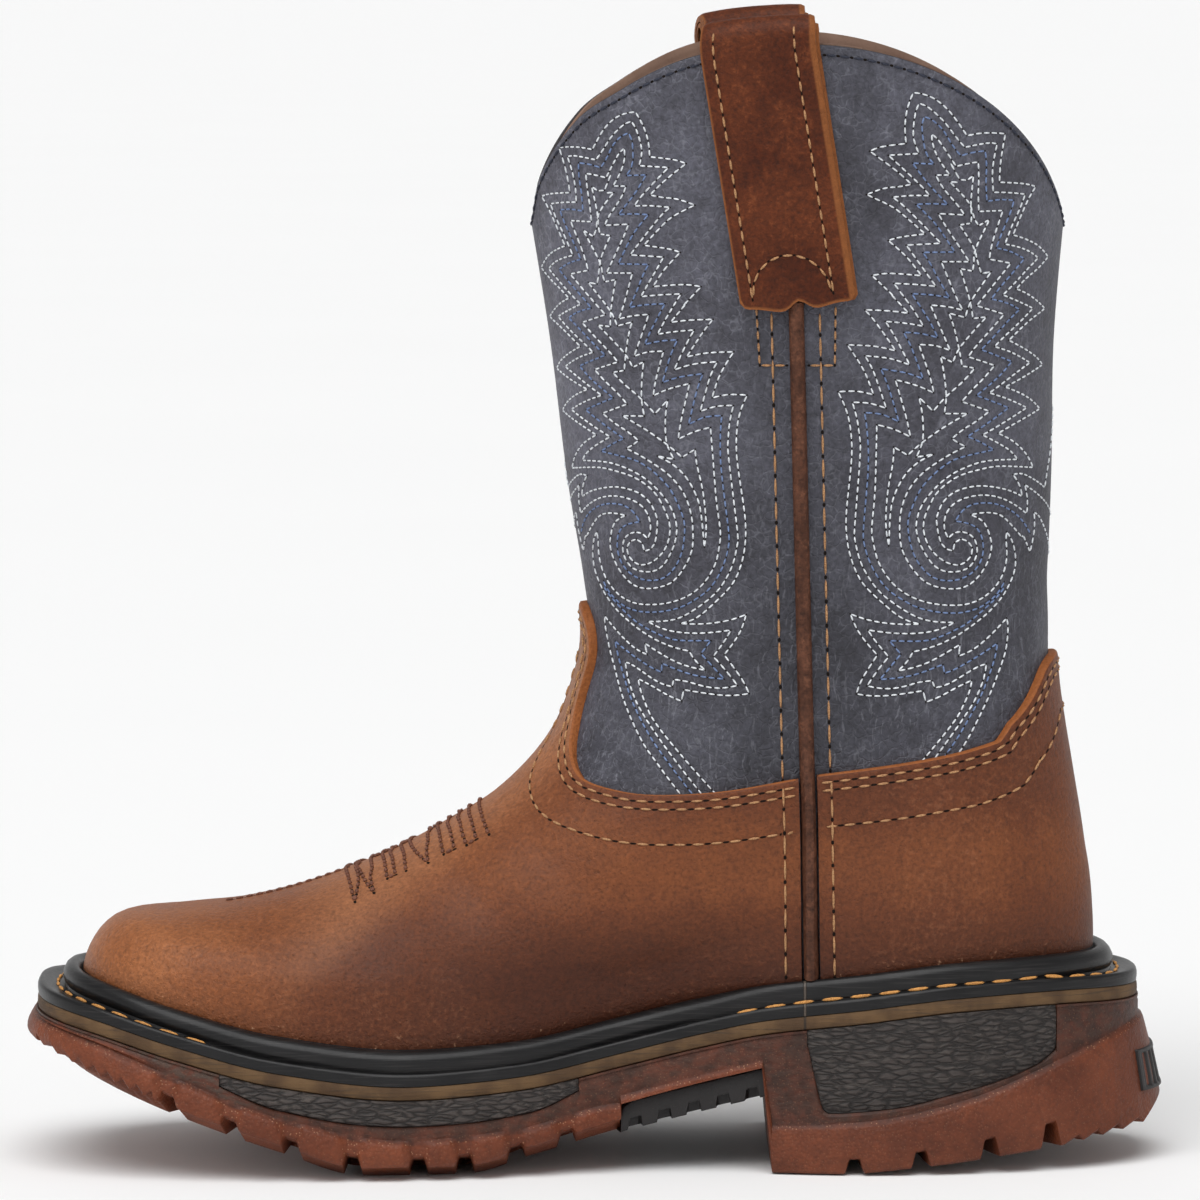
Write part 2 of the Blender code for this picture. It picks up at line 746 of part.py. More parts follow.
def piping_loops(inner):
    """Loops of the cord over the side seam, taller between the overlays."""
    margin = 1.2
    places = []
    foot_z = seat(SEAM_FOOT[0]) + RIDGE_TOP + 1.0
    for k in range(PIPING_STEPS + 1):
        z = SEAM_TOP[1] + (foot_z - SEAM_TOP[1]) * k / PIPING_STEPS
        places.append((surface_place(seam_x(z), z, inner), z))
    loops = []
    for (theta, t), z in places:
        base = upper_offset(theta, t, GAP)
        normal = (upper_offset(theta, t, 1.0) - upper_offset(theta, t, 0.0)).normalized()
        above = surface_place(seam_x(z + margin), min(z + margin, SEAM_TOP[1]), inner)
        below = surface_place(seam_x(z - margin), z - margin, inner)
        run = upper_point(*above) - upper_point(*below)
        across = run.cross(normal).normalized()
        part = min(1.0, max(0.0, (z - 74.0) / 8.0))
        tall = PIPING_TALL_FOOT + (PIPING_TALL - PIPING_TALL_FOOT) * part
        loop = []
        for wide, high in ((-1, 0), (-0.9, 0.62), (-0.45, 1), (0.45, 1), (0.9, 0.62), (1, 0)):
            loop.append(base + across * wide * PIPING_HALF + normal * high * tall)
        loops.append(loop)
    return loops


def strap_loops(inner):
    """Loops across a pull strap, from the foot of its outer leaf over the collar and down inside."""
    lean_x, lean_z = math.sin(STRAP_LEAN), math.cos(STRAP_LEAN)
    face_out = GAP + STRAP_THICK
    face_in = -UPPER_WALL - GAP
    middle = -UPPER_WALL / 2
    across = [STRAP_WIDE * (k / STRAP_ACROSS - 0.5) for k in range(STRAP_ACROSS + 1)]
    outer_steps = [STRAP_OUTER_LONG * part for part in (1.0, 0.8, 0.6, 0.4, 0.2, 0.04)]
    inner_steps = [STRAP_INNER_LONG * part for part in (0.06, 0.33, 0.66, 1.0)]
    arch = [
        ((GAP, 0.8), (face_out, 1.0)),
        ((GAP - 0.4, 2.2), (face_out - 0.9, 4.2)),
        ((middle, 2.8), (middle, 5.4)),
        ((face_in + 0.4, 2.2), (face_in - STRAP_THICK + 0.9, 4.2)),
        ((face_in, 0.8), (face_in - STRAP_THICK, 1.0)),
    ]

    def collar_point(a):
        section = UPPER_SECTIONS[COLLAR]
        x = STRAP_X + a * lean_z
        s = (section.back_x - x) / (section.back_x - section.front_x)
        theta = math.acos(1 - 2 * s) * (1 if inner else -1)
        return theta, upper_point(theta, COLLAR)

    def leaf(step, near, far):
        loop = []
        for out, order in ((near, across), (far, across[::-1])):
            for a in order:
                _, top = collar_point(a)
                place = surface_place(top.x + step * lean_x, top.z - step * lean_z, inner)
                loop.append(upper_offset(*place, out))
        return loop

    loops = [leaf(step, GAP, face_out) for step in outer_steps]
    for pair in arch:
        loop = []
        for (out, lift), order in ((pair[0], across), (pair[1], across[::-1])):
            for a in order:
                theta, top = collar_point(a)
                normal = upper_offset(theta, COLLAR, 1.0) - top
                normal.z = 0
                loop.append(top + normal.normalized() * out + Vector((0, 0, lift)))
        loops.append(loop)
    loops += [leaf(step, face_in, face_in - STRAP_THICK) for step in inner_steps]
    return loops


def centre_box():
    """Moves every mesh so that the middle of the boot's box is over the origin."""
    shown = [obj for obj in bpy.data.objects if not obj.hide_render]
    places = [vert.co for obj in shown for vert in obj.data.vertices]
    middle_x = (min(p.x for p in places) + max(p.x for p in places)) / 2
    middle_y = (min(p.y for p in places) + max(p.y for p in places)) / 2
    for obj in bpy.data.objects:
        obj.data.transform(Matrix.Translation((-middle_x, -middle_y, 0)))


def build():
    clear_scene()
    brown_rubber = make_material("brown_rubber", (0.16, 0.065, 0.035), 0.6)
    dark_rubber = make_material("dark_rubber", (0.03, 0.03, 0.033), 0.6)
    midsole_brown = make_material("midsole_brown", (0.11, 0.075, 0.045), 0.6)
    welt_black = make_material("welt_black", (0.015, 0.014, 0.015), 0.35)
    board = make_material("insole_board", (0.25, 0.18, 0.12), 0.85)
    shaft_blue = make_material("shaft_leather", (0.05, 0.075, 0.11), 0.55)
    tan = make_material("tan_leather", (0.3, 0.16, 0.075), 0.6)
    trim = make_material("trim_leather", (0.09, 0.055, 0.036), 0.55)
    strap = make_material("strap_leather", (0.19, 0.065, 0.022), 0.6)

    outsole = make_object("outsole", loft([outsole_loop(c) for c in outsole_crosses()]), brown_rubber)
    cut(outsole, make_object("heel_plate_cutter", heel_window(0.0, -PLATE_DEEP, 3.0)))
    make_object("heel_plate", heel_window(GAP, GAP - PLATE_DEEP, -0.1), dark_rubber)
    for name, side in (("medial", 1), ("lateral", -1)):
        places = [x for x in FOREPART_PLAIN if FOREFOOT_INSERT[0].x < x < FOREFOOT_INSERT[-1].x]
        places[0] += GAP
        places[-1] -= GAP
        panel = wall_insert(FOREFOOT_INSERT, side, places, INSERT_FACE)
        make_object("forefoot_insert_" + name, panel, dark_rubber)
        places = [x for x in HEEL_PLAIN if HEEL_INSERT[0].x < x < HEEL_INSERT[-1].x]
        places[0] += GAP
        places[-1] -= GAP
        panel = wall_insert(HEEL_INSERT, side, places, INSERT_FACE)
        make_object("heel_insert_" + name, panel, dark_rubber)
    make_object("shank_insert", loft(shank_loops()), dark_rubber)
    plate_places = sorted(toe_stations() + list(PLATE_PLAIN) + heel_stations())
    make_object("midsole", loft(plate_loops(plate_places, 0.5, 0.0, MIDSOLE_THICK)), midsole_brown)
    make_object("welt", loft(welt_loops(), ring=True), welt_black)
    make_object("insole", loft(insole_loops()), board)
    upper_shell = shell_loops(FOOT_ROWS + SHAFT_ROWS, -UPPER_WALL, 0.0)
    make_object("upper", loft(upper_shell, ring=True), shaft_blue)

    room = PIPING_HALF + GAP
    far, top, foot = 160.0, 160.0, 8.0
    vamp_end = (seam_x(VAMP_LINE[-1].z) - room, VAMP_LINE[-1].z)
    vamp_line = [p for p in smooth_line(VAMP_LINE) if p[0] < vamp_end[0] - 0.2]
    vamp_cutter = [(-30.0, VAMP_LINE[0].z)] + vamp_line + [vamp_end]
    vamp_cutter += [(seam_x(foot) - room, foot), (far, foot), (far, top), (-30.0, top)]
    vamp = make_object("vamp", loft(shell_loops(FOOT_ROWS, GAP, OVERLAY_OUT), ring=True), tan)
    cut(vamp, side_prism("vamp_cutter", vamp_cutter))
    heel_end = (seam_x(COUNTER_LINE[0].z) + room, COUNTER_LINE[0].z)
    heel_line = [p for p in smooth_line(COUNTER_LINE) if p[0] > heel_end[0] + 0.2]
    heel_cutter = [(-far, foot), (seam_x(foot) + room, foot), heel_end] + heel_line
    heel_cutter += [(far, COUNTER_LINE[-1].z), (far, top), (-far, top)]
    counter = make_object("counter", loft(shell_loops(FOOT_ROWS, GAP, OVERLAY_OUT), ring=True), tan)
    cut(counter, side_prism("counter_cutter", heel_cutter))

    for name, inner in (("medial", True), ("lateral", False)):
        make_object("piping_" + name, loft(piping_loops(inner)), trim)
        make_object("pull_strap_" + name, loft(strap_loops(inner)), strap)
    centre_box()


build()
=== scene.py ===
"""Looks of a western work boot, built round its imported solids.

Sizes are in millimetres and become metres where a piece is finished. The toe points to -X, the heel to +X,
the inner side of the foot faces -Y and +Z is up.
"""

import math

import bmesh
import bpy
import numpy as np
from mathutils import Matrix, Vector
from mathutils.bvhtree import BVHTree


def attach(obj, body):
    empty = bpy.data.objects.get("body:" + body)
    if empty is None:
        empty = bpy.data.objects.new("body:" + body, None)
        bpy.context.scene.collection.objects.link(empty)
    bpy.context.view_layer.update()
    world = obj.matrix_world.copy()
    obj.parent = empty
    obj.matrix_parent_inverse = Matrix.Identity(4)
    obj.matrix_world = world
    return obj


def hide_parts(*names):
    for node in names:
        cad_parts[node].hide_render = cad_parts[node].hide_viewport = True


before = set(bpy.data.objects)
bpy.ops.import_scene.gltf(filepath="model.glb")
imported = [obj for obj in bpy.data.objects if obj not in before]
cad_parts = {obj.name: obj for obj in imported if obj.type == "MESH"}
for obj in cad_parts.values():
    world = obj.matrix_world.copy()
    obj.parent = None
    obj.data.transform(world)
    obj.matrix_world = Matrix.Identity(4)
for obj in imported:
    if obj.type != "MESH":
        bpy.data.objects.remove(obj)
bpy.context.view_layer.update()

MM = 0.001
MERGE = 0.002
BODY = "root"
SIDE_SHIFT = Vector((0, 1.2247, 0))

# The last, as rings between a front and a back point of the side view: front x and z, back x and z, how far
# the ring follows the sole, half width, place of the widest point, two powers, two waists, swing and rise
SECTIONS = np.array([
    (-96.5, 30.8, 94.2, 34.4, 1.00, 34.0, 0.66, 3.00, 2.7, 12.0, 7.5, 5.0, 0),
    (-97.0, 38.6, 94.8, 42.2, 0.97, 35.4, 0.65, 2.90, 2.8, 10.0, 6.0, 5.0, 0),
    (-92.0, 45.2, 94.5, 49.5, 0.86, 35.6, 0.62, 2.70, 2.9, 8.0, 4.5, 5.0, 0),
    (-81.0, 46.7, 94.0, 55.0, 0.64, 34.4, 0.58, 2.50, 2.9, 5.0, 2.5, 4.5, 0),
    (-69.0, 47.8, 93.2, 60.0, 0.42, 33.3, 0.56, 2.40, 2.9, 3.0, 1.5, 4.0, 0),
    (-55.0, 51.1, 92.3, 66.0, 0.20, 31.8, 0.53, 2.40, 2.8, 1.5, 0.7, 3.2, 0),
    (-39.1, 57.1, 91.2, 72.5, 0.05, 31.0, 0.50, 2.35, 2.6, 0.5, 0.3, 2.2, 0),
    (-28.0, 63.0, 90.2, 78.5, 0.00, 30.7, 0.49, 2.30, 2.5, 0.0, 0.0, 1.4, 0),
    (-18.3, 69.0, 89.2, 84.5, 0.00, 30.5, 0.48, 2.25, 2.4, 0.0, 0.0, 0.8, 0),
    (-9.5, 77.8, 88.2, 91.5, 0.00, 30.5, 0.48, 2.20, 2.3, 0.0, 0.0, 0.3, 0),
    (-4.1, 87.4, 87.7, 98.5, 0.00, 30.7, 0.49, 2.20, 2.2, 0.0, 0.0, 0.0, 0),
    (-1.2, 100.0, 87.6, 107.0, 0.00, 31.0, 0.50, 2.15, 2.2, 0.0, 0.0, 0.0, 0),
    (-2.4, 112.5, 87.8, 117.5, 0.00, 31.6, 0.50, 2.10, 2.1, 0.0, 0.0, 0.0, 0.5),
    (-5.6, 132.0, 88.3, 134.0, 0.00, 33.0, 0.50, 2.10, 2.1, 0.0, 0.0, 0.0, 3.0),
    (-8.8, 158.0, 88.6, 158.0, 0.00, 34.8, 0.50, 2.10, 2.1, 0.0, 0.0, 0.0, 14.0),
    (-12.5, 181.0, 90.4, 181.0, 0.00, 36.5, 0.50, 2.10, 2.1, 0.0, 0.0, 0.0, 34.5),
])
FEATHER = SECTIONS[0]
COLLAR = len(SECTIONS) - 1
WAIST_PLACE = 0.43
WAIST_SPREAD = 0.15
COLLAR_ROUNDING = 0.15
FRONT_FULLNESS_AT = (0.0, 0.1, 0.24, 0.6, 0.85, 1.1, 1.5, 3.2)
FRONT_FULLNESS = (0.2, 0.3, 2.8, 2.7, 1.3, 1.1, 0.0, 0.0)
BALL_SKEW = 0.006
OUTER_RISE = 1.05
OUTER_ROUNDING = 0.86

# Walls and layers
GAP = 0.3
UPPER_WALL = 2.2
SHAFT_WALL = 1.1
OVERLAY_OUT = 1.9
RIM_PARTS = (0.1, 0.35, 0.7, 0.95)
EDGE_ROUNDING = (0.06, 0.22, 0.6)
FOOT_SHADE_TO = 2.6
MIDSOLE_THICK = 2.2
FEATHER_LIFT = 2.5
WELT_TOP = 4.9
RIDGE_TOP = 8.8

# Cross sections: a step out from the ridge or in from an edge, and a height or a part of the height.
# WELT_SECTIONS are the upper's sections at the welt's foot, middle and ridge, with the room left there
WELT_BEAD = ((0.1, 8.2), (0.5, 8.75), (1.1, 9.05), (1.9, 9.0), (2.7, 8.65), (3.35, 8.0), (3.75, 7.15),
             (3.8, 6.3), (3.55, 5.55), (3.2, 5.1))
WELT_SECTIONS = ((0.0, GAP), (0.5, 0.1), (0.85, 0.1))
WELT_DIP = ((0.05, 0.3), (0.25, 0.4), (0.5, 0.35), (0.75, 0.1))
WELT_EDGE = ((0.8, WELT_TOP - 0.05), (0.4, WELT_TOP - 0.3), (0.25, WELT_TOP - 0.8), (0.25, 3.3),
             (0.35, FEATHER_LIFT))
SLIM_BEAD_REACH = (3.0, 4.2)
SLIM_BEAD = (0.55, 1.0)
MIDSOLE_LOW = -0.25
MIDSOLE_TALL = MIDSOLE_THICK + 0.5
MIDSOLE_SIDE = ((1.2, 1.0), (0.45, 0.96), (0.25, 0.75), (0.2, 0.4), (0.35, 0.1), (0.7, 0.0))
SHANK_SIDE = ((1.9, 1.0), (1.2, 0.93), (1.0, 0.8), (0.95, 0.5), (1.0, 0.15), (1.2, 0.03), (1.8, 0.0))
INSERT_FACE = ((0.15, 0.06), (0.0, 0.2), (0.0, 0.4), (0.0, 0.6), (0.0, 0.8), (0.12, 0.94), (0.5, 1.0))

# The sole
SOLE_PLAN = np.array((-108.0, 0, 105.5, 0, 1, 42.0, 0.66, 3.1, 2.6, 10.0, 6.0, 5.0, 0))
SOLE_MIDDLE = (SOLE_PLAN[0] + SOLE_PLAN[2]) / 2
SOLE_HALF = (SOLE_PLAN[2] - SOLE_PLAN[0]) / 2
SOLE_BALL = SOLE_PLAN[2] + SOLE_PLAN[6] * (SOLE_PLAN[0] - SOLE_PLAN[2])
STATION_X = (-108.0, -95.0, -80.0, -60.0, -36.0, -15.0, 5.0, 20.0, 33.0, 50.0, 70.0, 90.0, 105.5)
SEAT_Z = (30.5, 27.7, 23.3, 18.2, 15.5, 16.8, 20.7, 24.2, 27.0, 29.0, 31.2, 31.9, 31.4)
SHOULDER_Z = (29.5, 25.9, 20.0, 12.4, 7.8, 9.4, 13.6, 12.0, 9.5, 10.2, 14.0, 21.5, 27.8)
FLARE_TOP = (1.2, 1.3, 1.3, 1.3, 1.3, 1.3, 0.9, 0.6, 0.6, 0.9, 1.2, 1.2, 1.0)
FLARE_LOW = (1.8, 1.8, 1.6, 1.4, 1.3, 1.2, 0.8, 0.6, 0.8, 1.3, 2.0, 3.2, 4.3)
FOREPART_TREAD_X = (-109.0, -95.0, -80.0, -60.0, -44.0, -25.0, -12.0, 0.0, 32.0)
FOREPART_TREAD_Z = (23.6, 17.6, 11.6, 4.6, 0.0, 0.0, 3.2, 6.4, 14.6)
FOREPART_BACK = 31.9
HEEL_TREAD_X = (33.8, 49.6, 68.0, 88.5, 102.5, 105.5)
HEEL_TREAD_Z = (0.0, 0.0, 1.9, 4.6, 7.2, 11.5)
HEEL_RIB_RUN = (88.5, 102.5)
HEEL_RIB_PITCH = 3.5
RIB_DEEP = 1.2
RIB_PEAK = 0.75
HEEL_CROWN = 0.3
FOREPART_CROWN = 2.8
LEDGE = 1.2
TOE_TEETH_RUN = (-105.5, -83.5)
TOE_TOOTH_PITCH = 2.7
TOE_TOOTH_DEEP = 1.5
FOREPART_GROOVES = (-81.0, -69.3, -57.8, -46.2, -33.7, -24.9, -15.2, -5.6)
HEEL_GROOVES = (49.4, 61.9, 74.8, 86.0)
GROOVE_MOUTH = 3.8
FOREPART_GROOVE_FLOOR = 1.8
HEEL_GROOVE_FLOOR = 1.6
VALLEY_MOUTH = 6.4
VALLEY_FLOOR = 1.4
VALLEY_TOP_DEEP = 1.1
VALLEY_LOW_DEEP = 0.7
GROOVE_ROOF = 1.6
GROOVE_ROOF_INSIDE = 1.8
TOE_WALL_X = (-90.0, -78.0)
TOE_WALL_SWELL = 0.6
WALL_TUCK = 0.35
FOREFOOT_INSERT_X = (-71.3, -60.0, -45.0, -25.0, -12.0, -3.1)
FOREFOOT_INSERT_DROP = (2.2, 4.2, 4.9, 4.9, 4.4, 2.4)
HEEL_INSERT_X = (40.3, 41.3, 42.3, 43.3, 44.4, 48.0, 57.5, 69.0, 78.3, 85.0, 88.4)
HEEL_INSERT_DROP = (2.5, 7.0, 11.6, 15.4, 16.3, 16.6, 16.8, 15.4, 13.4, 11.0, 8.6)
POCKET_DEEP = 2.2
SHANK_RUN = (4.7, 31.3)
SHANK_TALL = 5.8
SHANK_RIBS = 5
SHANK_NOTCH = 2.2
SHANK_CORNER_LONG = 3.0
SHANK_CORNER_TALL = 1.8
SHANK_UNDER = (4.2, 5.0)
PLATE_PART = 0.33
PLATE_HALF = 13.0
PLATE_RUN = (13.4, 21.6)
PLATE_RIBS = 11
PLATE_RIB_TALL = 0.45
PLATE_FLOOR = 0.15
PLATE_FRAME_WIDE = 1.0
PLATE_FRAME_TALL = 0.75
PLATE_TUCK = 0.8

# Grooves: part of the lug's height and the step inwards
FOREPART_GROOVE = (0.46, 0.5)
HEEL_GROOVE = (0.34, 0.2)

# Rows of the outsole: parts of the way down its wall, its bevel (with the flare there) and its lugs, then how
# far in they lie underneath
WALL_ROWS = (0.0, 0.3, 0.65)
BEVEL_ROWS = ((0.0, 0.0), (0.3, 0.25), (0.65, 0.8))
LUG_ROWS = (0.0, 0.12, 0.35, 0.6, 0.82)
LUG_BELLY = 0.25
LUG_INSETS = (0.9, 3.0, 5.5, 8.0)
GROOVE_INSETS = (20.0, 20.6)

# Panel edges in the side view, then round the front and the back as half widths at a height
VAMP_EDGE = [(37.6, 75.6), (23.6, 73.1), (10.3, 72.1), (1.8, 73.1), (-1.6, 74.2)]
TONGUE_EDGE = [(19.0, 76.2), (16.0, 78.8), (12.9, 82.4), (10.5, 87.0), (9.6, 93.0), (9.0, 99.0), (7.6, 103.4),
               (4.4, 106.5), (0.0, 107.4)]
COUNTER_EDGE = [(42.6, 76.5), (57.9, 78.4), (69.3, 80.3), (76.5, 82.2)]
HEEL_TAB_EDGE = [(21.0, 85.4), (18.3, 88.4), (14.6, 92.6), (11.4, 95.6), (7.0, 97.2), (0.0, 97.8)]
SEAM_TOP = (38.0, 164.2)
SEAM_TUCK = 2.4
SEAM_FOOT = (41.4, 36.0)
SEAM_ROOM = 1.75
PIPING_STEP_Z = (74.0, 82.0)
PIPING_TALL = (3.4, 1.85)
PIPING_HALF = 1.45
PIPING_SQUARING = 0.8
PIPING_TURNS = (0, 6, 20, 42, 66, 90, 114, 138, 160, 174, 180)

# Pull straps
STRAP_X = 30.2
STRAP_WIDE = 20.4
STRAP_LEAN = math.radians(9.0)
STRAP_LONG = 50.0
STRAP_INSIDE = 30.0
STRAP_NEAR = 0.05
STRAP_THICK = 2.4
STRAP_CORNER = 1.8
STRAP_CORNER_TALL = 1.6
STRAP_WAVE = 0.9
STRAP_NOTCH = 2.2
STRAP_NOTCH_MIDDLE = 0.6
STRAP_NOTCH_HALF = 2.0
STRAP_PUFF = 0.35
STRAP_ARCHES = ((0.8, 2.0), (1.0, 4.4))
STRAP_ROWS = (-7.7, 7.2)
STRAP_ROW_RUN = (-4.2, 47.5)
STRAP_BOW_MIDDLE = (-0.3, 47.0)
STRAP_BOW_RADIUS = 7.2
STRAP_FOOT_ROWS = (
    ((30.4, 166.0), (31.1, 154.6), (36.2, 154.6)),
    ((45.4, 166.0), (45.3, 154.6), (40.4, 154.6)),
)

# Layers of a strap: where it starts and stops in the thickness, its width and its shift to the back
STRAP_INNER_LAYER = (0.0, 0.42, STRAP_WIDE + 2.0, 0.9)
STRAP_OUTER_LAYER = (0.43, 1.0, STRAP_WIDE + 1.2, 0.55)

# Soft troughs worked into the leather: two ends in the side view, depth, breadth and side (-1 inner, 1 outer)
CREASES = [
    (-28.0, 58.0, -14.0, 42.0, 0.55, 5.0, -1), (-40.0, 52.0, -30.0, 36.0, 0.40, 5.5, -1),
    (-15.0, 64.0, 4.0, 50.0, 0.50, 6.0, -1), (70.0, 78.0, 88.0, 62.0, 0.35, 5.0, -1),
    (0.0, 98.0, 26.0, 84.0, 0.45, 6.0, -1), (62.0, 96.0, 86.0, 112.0, 0.40, 6.0, -1),
    (8.0, 128.0, 30.0, 140.0, 0.30, 8.0, -1), (48.0, 118.0, 70.0, 128.0, 0.35, 8.0, -1),
    (-26.0, 57.0, -10.0, 40.0, 0.60, 5.0, 1), (-42.0, 52.0, -31.0, 34.0, 0.45, 5.5, 1),
    (-13.0, 64.0, 8.0, 48.0, 0.50, 6.0, 1), (68.0, 78.0, 88.0, 64.0, 0.40, 5.0, 1),
    (2.0, 96.0, 28.0, 86.0, 0.45, 6.0, 1), (60.0, 98.0, 86.0, 110.0, 0.45, 6.0, 1),
    (10.0, 132.0, 34.0, 142.0, 0.35, 8.0, 1), (46.0, 122.0, 74.0, 130.0, 0.30, 8.0, 1),
]
CREASE_WANDER = 0.12
CREASE_WAVE = 0.35
CREASE_PHASE = 40
CREASE_STEEP = 1.6
CREASE_SWELL = 0.45
CREASE_SWELL_OFF = 1.1

